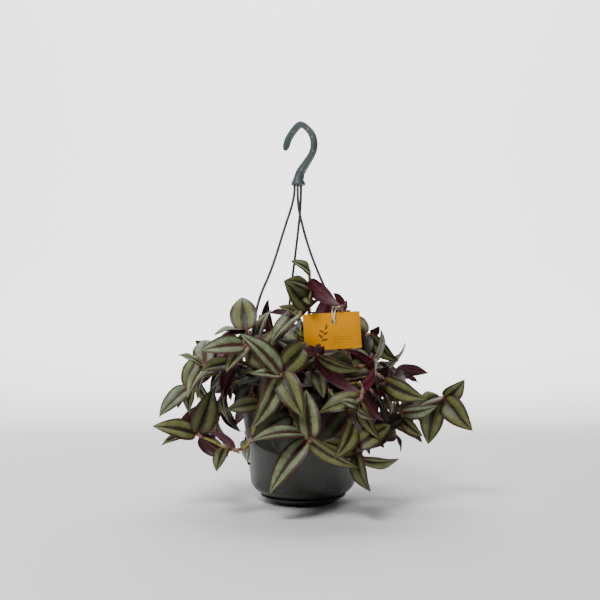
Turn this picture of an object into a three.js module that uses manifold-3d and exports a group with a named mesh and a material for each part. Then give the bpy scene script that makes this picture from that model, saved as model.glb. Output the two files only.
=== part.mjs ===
// A striped trailing tradescantia in a round plastic hanging pot: saucer, pot, soil, leafy stems,
// a hook with three clip-on rods, and a card tag on a loop of string.
// Millimetres, +Z up, X to the right and Y away from the front. The origin is the middle of the
// saucer's underside, on the pot's axis.
import * as THREE from "three";
import { mergeVertices } from "three/addons/utils/BufferGeometryUtils.js";
import Module from "manifold-3d";

const wasm = await Module();
wasm.setup();

// ---- Driving dimensions: lengths in millimetres, angles in degrees ----

const FIT = 0.3; // clearance between pieces that touch
const TURNS = 36; // facets round the pot, the saucer and the soil
const WALL = 1.3; // moulded plastic of the pot and the saucer

const SAUCER = { baseRadius: 36, lipRadius: 49, lipHeight: 8.4 };
const RIM = { radius: 75, top: 126, skirtBottom: 111.5, bead: 0.6 };
const POT_FLOOR = WALL + 2 * FIT;
// Outer face of the pot's wall as [radius, height], from the floor's edge to under the rim
const POT_WALL = [
  [34.5, POT_FLOOR], [46.4, 8.8], [55.8, 16], [59.6, 24], [63.7, 63], [68.6, 98],
  [71.4, RIM.top - WALL],
];
const FLAT = Math.cos(Math.PI / TURNS); // a facet's middle is this share of the radius from the axis
const DRAIN = { count: 4, ring: 22, radius: 3 };
const SOIL = { top: 112, crown: 2.5, holeDepth: 8 };

const ROD = { radius: 1.5, sides: 6, steps: 18 };
const CLIP = { width: 6, drop: 2.6, lip: 3, lipThickness: 1.1 };
const COLLAR = { x: -5.5, bottom: 360, lipRadius: 8.5, neckRadius: 5, height: 13.6 };
const COLLAR_SOCKET = 6; // depth of the holes that hold the rods' upper ends
// Each rod: its clip's angle round the rim, and the points that it passes from the collar down
const RODS = {
  rod_left: {
    angle: 225,
    points: [
      [-9.8, -1.2, 345], [-22.3, -13, 305], [-35, -27, 260], [-49.5, -41, 226],
      [-54.6, -50, 190],
    ],
  },
  rod_middle: {
    angle: 105,
    points: [
      [-2.4, 3.4, 345], [-4, 11, 324], [-8.8, 28, 284], [-15, 50, 240], [-19, 67, 196],
    ],
  },
  rod_right: {
    angle: 345,
    points: [
      [-6.2, -4.3, 345], [-4.8, -5.6, 328], [8.2, -8, 279], [33, -11, 222],
      [58, -15.5, 172],
    ],
  },
};
const HOOK = { width: 6.8, depth: 7.6, chamfer: 1.2, turn: -29 };
// Where the hook's band starts to swell into its collar, over what height, and by what share
const FOOT_FLARE = { top: 394, height: 24, more: 0.34 };
// Middle line of the hook's band, [x, z], from its tip over the crown to the collar
const HOOK_LINE = [
  [-20.9, 403.5], [-17.3, 415], [-10.6, 425], [-3, 431], [4, 426.5], [10.4, 417.3], [12.7, 405.8],
  [10.2, 395], [3.4, 384.5], [-3.2, 374.5], [-5.5, 364],
];

const TAG = { width: 64, height: 41, thickness: 0.6, flap: 5, flapBend: 14, turn: 3.6, holeRadius: 2.8 };
const TAG_HOLE = [34.6, -22, 202.5]; // where the punched hole is
const TAG_HOLE_IN_CARD = [34.7, 31.2]; // the hole from the card's lower left corner
const LOOP = {
  centre: [36.6, -15.6, 209.1],
  high: 10.6,
  deep: 8.6,
  turn: 72.5,
  radius: 0.9,
  steps: 18,
  sides: 5,
};

const STEM = { rootRadius: 2.1, tipRadius: 1.2, sides: 3, bury: SOIL.top - 8, upright: 128 };
const ROUTE_STEPS = 2; // straight pieces in each rounded corner of a stem's middle line
const BLADE = { thickness: 1.3, fold: 13, root: 1.5 };
const BLADE_ROWS = [0.12, 0.38, 0.7]; // shares of a blade's length that have an edge and a rib point
const SHORT_BLADE = 56; // a blade up to this length has fewer rows
const SHORT_BLADE_ROWS = [0.2, 0.56];
const LEAF_CLEAR = 2.7; // between the middle faces of two blades
const OWN_CLEAR = 1.7; // the same for two blades of one stem
const STEM_CLEAR = 1.1; // between a blade's middle face and a stem, a rod, the tag or the pot
const SOWN_SEED = 20;

// ---- Small tools ----

const rad = THREE.MathUtils.degToRad;
const vector = (values) => new THREE.Vector3(...values);
const colour = (hex, roughness) =>
  new THREE.MeshStandardMaterial({ color: hex, roughness, metalness: 0 });

// A closed geometry as a solid that can be cut and joined
function solidOf(geometry) {
  const bare = geometry.clone();
  bare.deleteAttribute("normal");
  bare.deleteAttribute("uv");
  const merged = mergeVertices(bare, 1e-3);
  return new wasm.Manifold(
    new wasm.Mesh({
      numProp: 3,
      vertProperties: merged.attributes.position.array,
      triVerts: new Uint32Array(merged.index.array),
    }),
  );
}

function geometryOf(solid) {
  const mesh = solid.getMesh();
  return new THREE.BufferGeometry()
    .setAttribute("position", new THREE.BufferAttribute(mesh.vertProperties, 3))
    .setIndex(new THREE.BufferAttribute(mesh.triVerts, 1));
}

const object = new THREE.Group();

function addPiece(name, geometry, material) {
  const mesh = new THREE.Mesh(geometry, material);
  mesh.name = name;
  object.add(mesh);
}

function turned(profile, segments = TURNS) {
  const points = profile.map(([radius, height]) => new THREE.Vector2(radius, height));
  return new THREE.LatheGeometry(points, segments).rotateX(Math.PI / 2);
}

// A closed skin through rings of points that run anticlockwise round the way ahead. A ring of one
// point is a tip. Every second column is split the other way, so the two faces of a blade, which
// has rings of four, are split alike.
function skin(rings) {
  const corners = [];
  const triangle = (a, b, c) => corners.push(a, b, c);
  const first = rings[0];
  const last = rings[rings.length - 1];
  for (let j = 1; j < first.length - 1; j++) triangle(first[0], first[j + 1], first[j]);
  for (let j = 1; j < last.length - 1; j++) triangle(last[0], last[j], last[j + 1]);
  for (let i = 0; i + 1 < rings.length; i++) {
    const near = rings[i];
    const far = rings[i + 1];
    const count = Math.max(near.length, far.length);
    for (let j = 0; j < count; j++) {
      const k = (j + 1) % count;
      if (near.length === 1) triangle(near[0], far[k], far[j]);
      else if (far.length === 1) triangle(near[j], near[k], far[0]);
      else if (j % 2) {
        triangle(near[j], near[k], far[j]);
        triangle(near[k], far[k], far[j]);
      } else {
        triangle(near[j], near[k], far[k]);
        triangle(near[j], far[k], far[j]);
      }
    }
  }
  return new THREE.BufferGeometry().setFromPoints(corners);
}

// A smooth curve that leaves the first point straight, rounds each corner between the middles of
// its two legs, and ends straight in the last point
function roundedPath(points) {
  const path = new THREE.CurvePath();
  const middle = (i) => points[i].clone().lerp(points[i + 1], 0.5);
  const end = points.length - 1;
  path.add(new THREE.LineCurve3(points[0], middle(0)));
  for (let i = 1; i < end; i++) {
    path.add(new THREE.QuadraticBezierCurve3(middle(i - 1), points[i], middle(i)));
  }
  path.add(new THREE.LineCurve3(middle(end - 1), points[end]));
  return path;
}

// ---- Saucer, pot and soil ----

function makeSaucer() {
  const { baseRadius, lipRadius, lipHeight } = SAUCER;
  return turned([
    [0, 0],
    [baseRadius, 0],
    [lipRadius, lipHeight - 0.4],
    [lipRadius, lipHeight + 0.4],
    [lipRadius - WALL, lipHeight + 0.4],
    [baseRadius - 0.4, WALL],
    [0, WALL],
  ]);
}

function makePot() {
  const { radius, top, skirtBottom, bead } = RIM;
  const inside = POT_WALL.map(([r, z]) => [r - WALL, z]);
  inside[0][1] = POT_FLOOR + WALL;
  inside.at(-1)[1] = top - 1;
  const shell = turned([
    [0, POT_FLOOR],
    ...POT_WALL,
    [radius - WALL, top - WALL],
    [radius - WALL, skirtBottom],
    [radius, skirtBottom],
    [radius, skirtBottom + 3],
    [radius - bead, skirtBottom + 3.8],
    [radius - bead, top - 4.6],
    [radius, top - 3.8],
    [radius, top - 1],
    [radius - 1, top],
    [POT_WALL.at(-1)[0] - 0.8, top],
    ...inside.reverse(),
    [0, POT_FLOOR + WALL],
  ]);
  let pot = solidOf(shell);
  for (let i = 0; i < DRAIN.count; i++) {
    const angle = rad((360 * i) / DRAIN.count);
    const drill = new THREE.CylinderGeometry(DRAIN.radius, DRAIN.radius, 8, 6)
      .rotateX(Math.PI / 2)
      .translate(DRAIN.ring * Math.cos(angle), DRAIN.ring * Math.sin(angle), POT_FLOOR);
    pot = pot.subtract(solidOf(drill));
  }
  return geometryOf(pot);
}

// The soil fills the pot to below its rim, with a plain hole for each stem
function makeSoil(stems) {
  const side = [2, 4, 5].map((i) => [POT_WALL[i][0] - WALL - FIT, POT_WALL[i][1]]);
  const floor = POT_FLOOR + WALL + FIT;
  const body = turned([
    [0, floor],
    [POT_WALL[0][0] - WALL - FIT, floor],
    ...side,
    [side.at(-1)[0], SOIL.top - 1.5],
    [side.at(-1)[0] * 0.55, SOIL.top + SOIL.crown - 0.8],
    [0, SOIL.top + SOIL.crown],
  ]);
  let soil = solidOf(body);
  for (const stem of stems) {
    const holeRadius = STEM.rootRadius + 2 * FIT;
    const hole = new THREE.CylinderGeometry(holeRadius, holeRadius, SOIL.holeDepth + 12, 6)
      .rotateX(Math.PI / 2)
      .translate(stem.root.x, stem.root.y, STEM.bury - FIT + (SOIL.holeDepth + 12) / 2);
    soil = soil.subtract(solidOf(hole));
  }
  return geometryOf(soil);
}

// ---- Hook and rods ----

function makeHook() {
  const { width, depth, chamfer, turn } = HOOK;
  const flat = Math.cos(rad(turn));
  const line = HOOK_LINE.map(([x, z]) => new THREE.Vector3((x - COLLAR.x) / flat, 0, z));
  const curve = new THREE.CatmullRomCurve3(line, false, "catmullrom", 0.5);
  const steps = 18;
  const across = new THREE.Vector3(0, 1, 0);
  const section = [
    [1, -1], [1, 1], [-1, 1], [-1, -1],
  ].flatMap(([x, y], i) => {
    const inX = [x * (width / 2 - chamfer), (y * depth) / 2];
    const inY = [(x * width) / 2, y * (depth / 2 - chamfer)];
    return i % 2 ? [inY, inX] : [inX, inY];
  });
  const rings = [];
  for (let i = 0; i <= steps; i++) {
    const middle = curve.getPoint(i / steps);
    const ahead = curve.getTangent(i / steps);
    const outward = across.clone().cross(ahead);
    const flared = Math.min(Math.max((FOOT_FLARE.top - middle.z) / FOOT_FLARE.height, 0), 1);
    const scale = i === 0 ? 0.7 : 1 + FOOT_FLARE.more * flared ** 1.4; // the tip is rounded off
    rings.push(
      section.map(([a, b]) =>
        middle.clone().addScaledVector(outward, a * scale).addScaledVector(across, b * scale),
      ),
    );
  }
  const { bottom, lipRadius, neckRadius, height } = COLLAR;
  const trumpet = turned(
    [
      [0, bottom],
      [lipRadius - 1, bottom],
      [lipRadius, bottom + 1.2],
      [lipRadius - 0.6, bottom + 3.2],
      [neckRadius + 1.4, bottom + 6.4],
      [neckRadius, bottom + 10.6],
      [0, bottom + height],
    ],
    12,
  );
  const band = skin(rings);
  let hook = solidOf(band).add(solidOf(trumpet));
  const turnedHook = geometryOf(hook).rotateZ(rad(turn)).translate(COLLAR.x, 0, 0);
  hook = solidOf(turnedHook);
  const socketRadius = ROD.radius + 2 * FIT;
  for (const { points } of Object.values(RODS)) {
    const [x, y] = points[0];
    const socket = new THREE.CylinderGeometry(socketRadius, socketRadius, 2 * COLLAR_SOCKET, 8)
      .rotateX(Math.PI / 2)
      .translate(x, y, bottom);
    hook = hook.subtract(solidOf(socket));
  }
  return geometryOf(hook);
}

function rodCurve({ angle, points }) {
  const [x, y] = points[0];
  const foot = RIM.radius * FLAT + FIT + ROD.radius;
  const clipX = foot * Math.cos(rad(angle));
  const clipY = foot * Math.sin(rad(angle));
  return roundedPath([
    new THREE.Vector3(x, y, COLLAR.bottom + COLLAR_SOCKET - FIT),
    ...points.map(vector),
    new THREE.Vector3(clipX, clipY, RIM.top + 24),
    new THREE.Vector3(clipX, clipY, RIM.top - 3),
  ]);
}

// A rod with a J-shaped clip that holds the rim's skirt from below
function makeRod(rod) {
  const { radius, sides, steps } = ROD;
  const section = new THREE.Shape(
    Array.from({ length: sides }, (_, i) => {
      const angle = (2 * Math.PI * i) / sides;
      return new THREE.Vector2(radius * Math.cos(angle), radius * Math.sin(angle));
    }),
  );
  const wire = new THREE.ExtrudeGeometry(section, { steps, extrudePath: rodCurve(rod), bevelEnabled: false });
  const inner = RIM.radius * FLAT + FIT;
  const outer = inner + 2 * radius;
  const under = RIM.skirtBottom - FIT;
  const lipInner = (RIM.radius - WALL) * FLAT - FIT - CLIP.lipThickness;
  const hookShape = new THREE.Shape(
    [
      [inner, RIM.top + 1],
      [outer, RIM.top + 1],
      [outer, under - CLIP.drop],
      [lipInner, under - CLIP.drop],
      [lipInner, under + CLIP.lip],
      [lipInner + CLIP.lipThickness, under + CLIP.lip],
      [lipInner + CLIP.lipThickness, under],
      [inner, under],
    ].map(([r, z]) => new THREE.Vector2(r, z)),
  );
  const clip = new THREE.ExtrudeGeometry(hookShape, { depth: CLIP.width, bevelEnabled: false })
    .translate(0, 0, -CLIP.width / 2)
    .rotateX(Math.PI / 2)
    .rotateZ(rad(rod.angle));
  return geometryOf(solidOf(wire).add(solidOf(clip)));
}

// ---- Card tag and its loop ----

// The card is a thin plate, bent a little near its right edge
function makeTag() {
  const { width, height, thickness, flap, flapBend, turn, holeRadius } = TAG;
  const [holeX, holeZ] = TAG_HOLE_IN_CARD;
  const bend = Math.tan(rad(flapBend)) * flap;
  const plan = new THREE.Shape(
    [
      [0, 0],
      [width - flap, 0],
      [width, bend],
      [width, bend + thickness],
      [width - flap, thickness],
      [0, thickness],
    ].map(([x, y]) => new THREE.Vector2(x, y)),
  );
  const plate = new THREE.ExtrudeGeometry(plan, { depth: height, bevelEnabled: false });
  const punch = new THREE.CylinderGeometry(holeRadius, holeRadius, 4, 10).translate(holeX, 0, holeZ);
  return geometryOf(solidOf(plate).subtract(solidOf(punch)))
    .translate(-holeX, -thickness / 2, -holeZ)
    .rotateY(rad(-turn))
    .translate(...TAG_HOLE);
}

// An upright loop of string, through the card's hole and round the rod
function makeLoop() {
  const { centre, high, deep, turn, radius, steps, sides } = LOOP;
  const upright = new THREE.TorusGeometry(1, 0.1, sides, steps);
  const position = upright.attributes.position;
  for (let i = 0; i < position.count; i++) {
    const p = new THREE.Vector3().fromBufferAttribute(position, i);
    const out = new THREE.Vector2(p.x, p.y).normalize();
    const bulge = (new THREE.Vector2(p.x, p.y).length() - 1) / 0.1;
    position.setXYZ(
      i,
      out.x * (deep + bulge * radius),
      (-p.z / 0.1) * radius,
      out.y * (high + bulge * radius),
    );
  }
  return upright.rotateZ(rad(turn)).translate(...centre);
}

// ---- Leaves ----

// A leaf's half-width at share s of its length, as a share of its widest half-width
function outline(s) {
  return s <= 0 || s >= 1 ? 0 : (s ** 0.5 * (1 - s) ** 0.85) / 0.4105;
}

// A leaf is a blade bent along its rib, as an arc whose chord runs from base to tip, and folded
// along the rib. face is the way its upper face looks.
function newLeaf(base, along, facing, long, wide, arch) {
  const chord = along.clone().normalize();
  const face = facing.clone().addScaledVector(chord, -facing.dot(chord)).normalize();
  const side = chord.clone().cross(face);
  return { base, chord, face, side, long, half: wide / 2, arch: rad(arch), fold: rad(BLADE.fold) };
}

// The point at share s along the rib and share v of the half-width, lift above the middle face
function leafPoint(leaf, s, v, lift = 0) {
  const radius = leaf.long / leaf.arch;
  const turn = leaf.arch * (0.5 - s);
  const forward = radius * (Math.sin(leaf.arch / 2) - Math.sin(turn));
  const rise = radius * (Math.cos(turn) - Math.cos(leaf.arch / 2));
  const across = leaf.half * outline(s) * v;
  const height = Math.abs(across) * Math.sin(leaf.fold) + lift;
  return leaf.base
    .clone()
    .addScaledVector(leaf.chord, forward - height * Math.sin(turn))
    .addScaledVector(leaf.face, rise + height * Math.cos(turn))
    .addScaledVector(leaf.side, across * Math.cos(leaf.fold));
}

// Whether a point lies over or under the leaf, closer to its middle face than clear
function nearLeaf(leaf, point, clear) {
  const from = point.clone().sub(leaf.base);
  const radius = leaf.long / leaf.arch;
  const sign = Math.sign(leaf.arch);
  const x = from.dot(leaf.chord) - radius * Math.sin(leaf.arch / 2);
  const y = from.dot(leaf.face) + radius * Math.cos(leaf.arch / 2);
  const s = 0.5 - Math.atan2(-x * sign, y * sign) / leaf.arch;
  if (s < 0 || s > 1 + clear / leaf.long) return false;
  const across = Math.abs(from.dot(leaf.side));
  if (across > leaf.half * outline(Math.min(s, 0.97)) + clear) return false;
  const height = sign * Math.hypot(x, y) - radius;
  return Math.abs(height - across * Math.tan(leaf.fold)) < clear;
}

function leafSamples(leaf) {
  const samples = [];
  for (let row = 1; row <= 10; row++) {
    for (let column = -2; column <= 2; column++) {
      samples.push(leafPoint(leaf, row / 10, column / 2));
    }
  }
  return samples;
}

function bladeSolid(leaf) {
  const rows = leaf.long > SHORT_BLADE ? BLADE_ROWS : SHORT_BLADE_ROWS;
  const rings = rows.map((s) => {
    const lift = (BLADE.thickness / 2) * (1 - 0.3 * s);
    return [
      leafPoint(leaf, s, -1),
      leafPoint(leaf, s, 0, lift),
      leafPoint(leaf, s, 1),
      leafPoint(leaf, s, 0, -lift),
    ];
  });
  return solidOf(skin([[leafPoint(leaf, 0, 0)], ...rings, [leafPoint(leaf, 1, 0)]]));
}

// ---- Stems ----

// A stem's middle line: a smooth curve through its points, as short straight pieces
function makeRoute(points) {
  const line = roundedPath(points.map(vector)).getPoints(ROUTE_STEPS);
  const reached = [0];
  for (let i = 1; i < line.length; i++) reached.push(reached[i - 1] + line[i].distanceTo(line[i - 1]));
  return { line, reached, total: reached.at(-1) };
}

// The place and the direction at a distance from the stem's root
function placeAt(route, distance) {
  const wanted = Math.min(Math.max(distance, 0), route.total);
  let i = 1;
  while (i < route.line.length - 1 && route.reached[i] < wanted) i++;
  const start = route.line[i - 1];
  const step = route.line[i].clone().sub(start);
  const share = (wanted - route.reached[i - 1]) / (route.reached[i] - route.reached[i - 1]);
  return { point: start.clone().addScaledVector(step, share), ahead: step.normalize() };
}

function stemSolid({ line, reached, total }) {
  let side = new THREE.Vector3(1, 0, 0);
  const rings = line.map((point, i) => {
    const before = line[Math.max(i - 1, 0)];
    const after = line[Math.min(i + 1, line.length - 1)];
    const ahead = after.clone().sub(before).normalize();
    side = side.clone().addScaledVector(ahead, -side.dot(ahead)).normalize();
    const other = ahead.clone().cross(side);
    const radius = THREE.MathUtils.lerp(STEM.rootRadius, STEM.tipRadius, reached[i] / total);
    return Array.from({ length: STEM.sides }, (_, k) => {
      const angle = (2 * Math.PI * k) / STEM.sides;
      return point
        .clone()
        .addScaledVector(side, radius * Math.cos(angle))
        .addScaledVector(other, radius * Math.sin(angle));
    });
  });
  return solidOf(skin(rings));
}

// Even draws between -1 and 1 from a seed
function draws(seed) {
  let state = (seed * 7919 + 17) % 4294967296;
  return () => {
    state = (state * 1664525 + 1013904223) % 4294967296;
    return state / 2147483648 - 1;
  };
}

// ---- The plant's habit ----

// The shoots that the front shows. path is the stem's line from the soil to its tip. Each leaf is
// [distance back from the tip, turn, lean, facing, length, width]: turn is its direction as seen
// from the front, anticlockwise from the right, lean is how far it points towards the front, and
// facing is how far its upper face is rolled away from the front.
const FRONT_SHOOTS = {
  stem_front_centre: {
    path: [[-12, -36], [-18, -52, 142], [-22, -85, 157], [-23, -115, 146]],
    leaves: [
      [0, 175, 25, 40, 30, 12],
      [3, 134, 12, 25, 55, 22],
      [6, 243, 8, -25, 60, 20],
      [9, -63, 22, 0, 50, 23],
      [12, 54, -18, 5, 48, 25],
    ],
  },
  stem_front_low: {
    path: [[-4, -46], [-9, -64, 133], [-16, -88, 132], [-14, -99, 108], [-5, -106, 93], [8, -113, 80]],
    leaves: [
      [0, 95, -15, 0, 50, 21],
      [3, 233, 5, 30, 62, 21],
      [6, -30, 8, 35, 56, 18],
      [9, 173, 8, 60, 56, 20],
      [34, 209, 0, 20, 42, 23],
    ],
  },
  stem_front_right_low: {
    path: [[24, -40], [32, -54, 133], [42, -84, 132], [50, -98, 98], [55, -102, 63]],
    leaves: [
      [0, 0, 30, 50, 42, 20],
      [3, -75, 40, 45, 41, 20],
      [6, 172, 35, 10, 36, 18],
      [9, 30, -25, -20, 45, 20],
    ],
  },
  stem_right_sprig: {
    path: [[30, -4], [42, -6, 136], [82, -10, 141], [126, -13, 117], [162, -15, 117]],
    leaves: [
      [0, 51, 40, 10, 32, 18],
      [3, -52, 30, 0, 47, 24],
      [6, 194, 35, 50, 36, 18],
      [13, 262, 8, 10, 50, 24],
      [30, 222, 20, 25, 38, 18],
    ],
  },
  stem_right: {
    path: [[28, -22], [36, -29, 138], [60, -50, 157], [78, -66, 147], [87, -76, 137]],
    leaves: [
      [0, 188, 50, 30, 16, 9],
      [3, -25, 22, 25, 46, 21],
      [8, -45, 10, 65, 34, 16],
      [12, -29, -10, 100, 38, 18],
      [18, 136, 0, 130, 36, 16],
      [24, 215, 10, 20, 38, 18],
    ],
  },
  stem_right_high: {
    path: [[22, -6], [34, -3, 150], [60, -4, 182], [80, -9, 190]],
    leaves: [
      [0, 48, 50, 20, 15, 9],
      [3, -46, 18, 45, 43, 20],
      [5, 252, 6, 20, 42, 20],
      [8, 127, -35, 10, 37, 18],
      [12, -40, 0, 78, 36, 17],
      [22, -15, 5, 112, 44, 22],
    ],
  },
  stem_top: {
    path: [[2, -8], [4, -10, 170], [8, -12, 228], [7, -27, 259]],
    leaves: [
      [44, 132, 12, 10, 42, 21],
      [0, 150, 30, 40, 25, 13],
      [4, 133, 10, 45, 20, 9],
      [8, -43, 8, 145, 44, 20],
      [20, 163, 30, 45, 34, 16],
      [22, -53, 20, 55, 38, 17],
      [26, -94, 35, 40, 26, 15],
    ],
  },
  stem_top_right: {
    path: [[17, 8], [25, 8, 165], [40, 2, 212], [46, -3, 222]],
    leaves: [
      [0, 125, 20, 140, 18, 9],
      [4, -63, 35, 50, 30, 14],
      [8, 55, -20, 150, 16, 9],
      [14, 20, 0, 60, 34, 16],
    ],
  },
  stem_upper_left: {
    path: [[-16, -14], [-34, -24, 160], [-63, -42, 188], [-61, -62, 191]],
    leaves: [
      [0, 262, 40, 50, 30, 18],
      [3, 100, -42, 0, 46, 26],
      [5, 200, 25, 65, 32, 18],
      [8, 185, 20, 72, 36, 20],
      [11, 273, 60, 30, 24, 16],
      [14, -62, 45, 40, 27, 16],
      [22, 20, 15, 115, 38, 20],
    ],
  },
  stem_left_inner: {
    path: [[-20, -27], [-30, -40, 145], [-50, -68, 175], [-62, -88, 176]],
    leaves: [
      [0, 185, 25, 28, 44, 20],
      [4, 232, 35, 32, 34, 18],
      [8, 212, 25, 30, 30, 18],
      [12, -56, 40, 10, 35, 20],
      [16, 150, -10, 150, 30, 18],
    ],
  },
  stem_left_middle: {
    path: [[-34, -26], [-52, -38, 142], [-70, -58, 157], [-78, -73, 154]],
    leaves: [
      [0, 200, 20, 55, 34, 16],
      [4, 183, 25, 35, 36, 18],
      [8, 250, 10, 150, 34, 14],
      [13, -40, 20, 60, 36, 18],
    ],
  },
  stem_left_high: {
    path: [[-30, -12], [-42, -18, 145], [-78, -36, 163], [-110, -52, 153]],
    leaves: [
      [0, 152, 15, 65, 28, 12],
      [3, 98, -48, 0, 41, 22],
      [6, 242, 40, 45, 46, 18],
      [10, 250, 20, 60, 40, 16],
      [14, 40, -20, 160, 34, 18],
    ],
  },
  stem_left: {
    path: [[-38, -8], [-52, -14, 138], [-95, -26, 149], [-130, -36, 126]],
    leaves: [
      [0, 248, 20, 30, 21, 10],
      [3, 80, -35, 0, 41, 19],
      [6, 219, 5, 22, 44, 19],
      [9, 262, 5, 35, 29, 15],
      [16, -50, 10, 50, 40, 18],
    ],
  },
  stem_left_low: {
    path: [
      [-30, -44], [-34, -62, 134], [-42, -84, 130], [-48, -98, 98], [-55, -101, 75], [-71, -96, 68],
      [-92, -80, 76], [-118, -53, 82],
    ],
    leaves: [
      [0, 196, 30, 55, 36, 13],
      [3, 160, 15, 25, 46, 20],
      [6, 68, -20, 8, 49, 24],
      [10, -34, 10, 150, 36, 18],
      [14, -5, -8, 50, 38, 18],
      [52, 250, 40, 30, 27, 15],
      [64, 146, -5, 140, 32, 15],
    ],
  },
  stem_young: {
    path: [[6, -32], [9, -48, 145], [13, -75, 167], [15, -95, 168]],
    leaves: [
      [0, 98, 50, 10, 14, 8],
      [3, 159, 20, 20, 18, 9],
      [5, 51, 40, 30, 17, 9],
      [9, -20, 10, 55, 48, 20],
      [13, -37, -8, 118, 62, 20],
      [17, -63, 10, 68, 36, 18],
      [22, 215, 5, 50, 40, 18],
    ],
  },
  stem_front_right: {
    path: [[36, -38], [46, -55, 134], [62, -84, 138], [60, -97, 124], [53, -104, 111]],
    leaves: [
      [0, -32, 30, 30, 20, 9],
      [3, 160, 30, 30, 23, 11],
      [10, -70, 5, 45, 44, 20],
      [14, 200, -8, 40, 44, 20],
      [20, -55, 0, 145, 34, 13],
    ],
  },
  stem_top_front: {
    path: [[-4, -22], [-5, -34, 165], [-5, -50, 203], [-3, -61, 212]],
    leaves: [
      [0, 225, 15, 45, 44, 20],
      [4, 203, 35, 45, 31, 15],
      [8, 151, 35, 40, 28, 14],
      [14, -80, 30, 30, 34, 17],
      [20, 105, -10, 20, 34, 18],
    ],
  },
  stem_right_low: {
    path: [[37, -17], [51, -23, 136], [80, -36, 141], [101, -44, 120], [108, -48, 94]],
    leaves: [
      [0, -40, 25, 20, 26, 13],
      [4, 215, 15, 30, 36, 16],
      [9, 10, 15, 30, 38, 17],
    ],
  },
};

// Stems at the sides, the back and the crown, and low ones inside the front, which follow a rule:
// [name, how many, first angle, step, root radius, bare length above the root, and the reach and
// height of the stem's rise, shoulder and tip]
const SOWN_STEMS = [
  ["stem_crown", 4, 28, 42, 8, 50, [[14, 150], [30, 184], [52, 206]]],
  ["stem_side", 7, 20, 23, 34, 42, [[44, 142], [90, 158], [130, 138]]],
  ["stem_trailing", 6, 18, 34, 52, 38, [[66, 136], [90, 134], [104, 100], [112, 62]]],
  ["stem_inner", 2, 288, 36, 20, 30, [[32, 148], [54, 172], [74, 178]]],
  ["stem_skirt", 5, 206, 28, 53, 24, [[64, 135], [86, 137], [97, 118]]],
];
const RULE_NODES = [0, 6, 13, 22, 34, 48, 64, 82, 102, 124, 148, 174]; // leaf places back from the tip
const RULE_LENGTHS = [20, 30, 40, 48, 53, 54, 52, 48, 44, 40, 36, 32];
const RULE_OPENING = [28, 48, 60, 66, 70, 74]; // between the stem ahead and the leaf
const LOWEST_LEAF = 30; // a front shoot is bare this near its root

function sownStems() {
  const stems = {};
  let seed = SOWN_SEED;
  for (const [name, count, first, step, rootRadius, bare, profile] of SOWN_STEMS) {
    for (let i = 0; i < count; i++) {
      const draw = draws(seed++);
      const angle = rad(first + step * i + 4 * draw());
      const reach = 1 + 0.1 * draw();
      const lift = 9 * draw();
      const sway = 8 * draw();
      const root = rootRadius * (1 + 0.15 * draw());
      const path = [[root * Math.cos(angle), root * Math.sin(angle)]];
      profile.forEach(([radius, height], k) => {
        const share = k / (profile.length - 1);
        const r = radius * (k ? reach : 1);
        path.push([
          r * Math.cos(angle) - sway * share * Math.sin(angle),
          r * Math.sin(angle) + sway * share * Math.cos(angle),
          height + (k ? lift : 0),
        ]);
      });
      stems[`${name}_${i + 1}`] = { path, leaves: [], draw, bare };
    }
  }
  return stems;
}

// ---- Growing the plant ----

const obstacles = []; // points of stems, rods and tag that no blade may touch
const grown = []; // every leaf that stands

function touchesPot(point) {
  const radius = Math.hypot(point.x, point.y);
  if (point.z < 2) return true;
  if (point.z > RIM.top + 2) return false;
  if (point.z > RIM.skirtBottom - 2) return radius < RIM.radius + 2;
  return radius < POT_WALL.at(-1)[0] + 2;
}

// The card was hung over the leaves, so none hides more of it than its lower left corner
function hidesTag(point) {
  const x = point.x - TAG_HOLE[0] + TAG_HOLE_IN_CARD[0];
  const z = point.z - TAG_HOLE[2] + TAG_HOLE_IN_CARD[1];
  if (point.y > TAG_HOLE[1] || x < -1 || x > TAG.width + 2) return false;
  return z > (x < 22 ? 10 : 1) && z < TAG.height + 3;
}

function blocked(leaf, stem) {
  const samples = leafSamples(leaf);
  if (samples.some(touchesPot) || samples.some(hidesTag)) return true;
  const middle = leafPoint(leaf, 0.5, 0);
  const reach = leaf.long * 0.62;
  for (const { point, radius, owner } of obstacles) {
    if (point.distanceTo(middle) > reach + radius) continue;
    if (owner === stem && point.distanceTo(leaf.base) < 13) continue;
    if (nearLeaf(leaf, point, radius + STEM_CLEAR)) return true;
  }
  for (const other of grown) {
    if (other.middle.distanceTo(middle) > reach + other.leaf.long * 0.62) continue;
    const own = other.stem === stem;
    const clear = own ? OWN_CLEAR : LEAF_CLEAR;
    for (let i = own ? 15 : 0; i < samples.length; i++) {
      if (nearLeaf(other.leaf, samples[i], clear)) return true;
      if (nearLeaf(leaf, other.samples[i], clear)) return true;
    }
  }
  return false;
}

// The first leaf of a list of tries that is clear grows
function growFirstClear(stem, tries) {
  for (const leaf of tries) {
    if (blocked(leaf, stem)) continue;
    grown.push({ leaf, stem, samples: leafSamples(leaf), middle: leafPoint(leaf, 0.5, 0) });
    return;
  }
}

const SHIFTS = [
  [0, 0, 0], [0, 8, 0], [0, -8, 0], [5, 0, 0], [-5, 0, 0], [0, 0, 15], [0, 0, -15], [4, 14, 8],
  [-4, -14, -8], [-4, 14, 8], [4, -14, -8], [8, 20, 0], [-8, -20, 0], [10, 0, 20], [-10, 0, -20],
  [0, 28, 10], [0, -28, -10],
];

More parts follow.
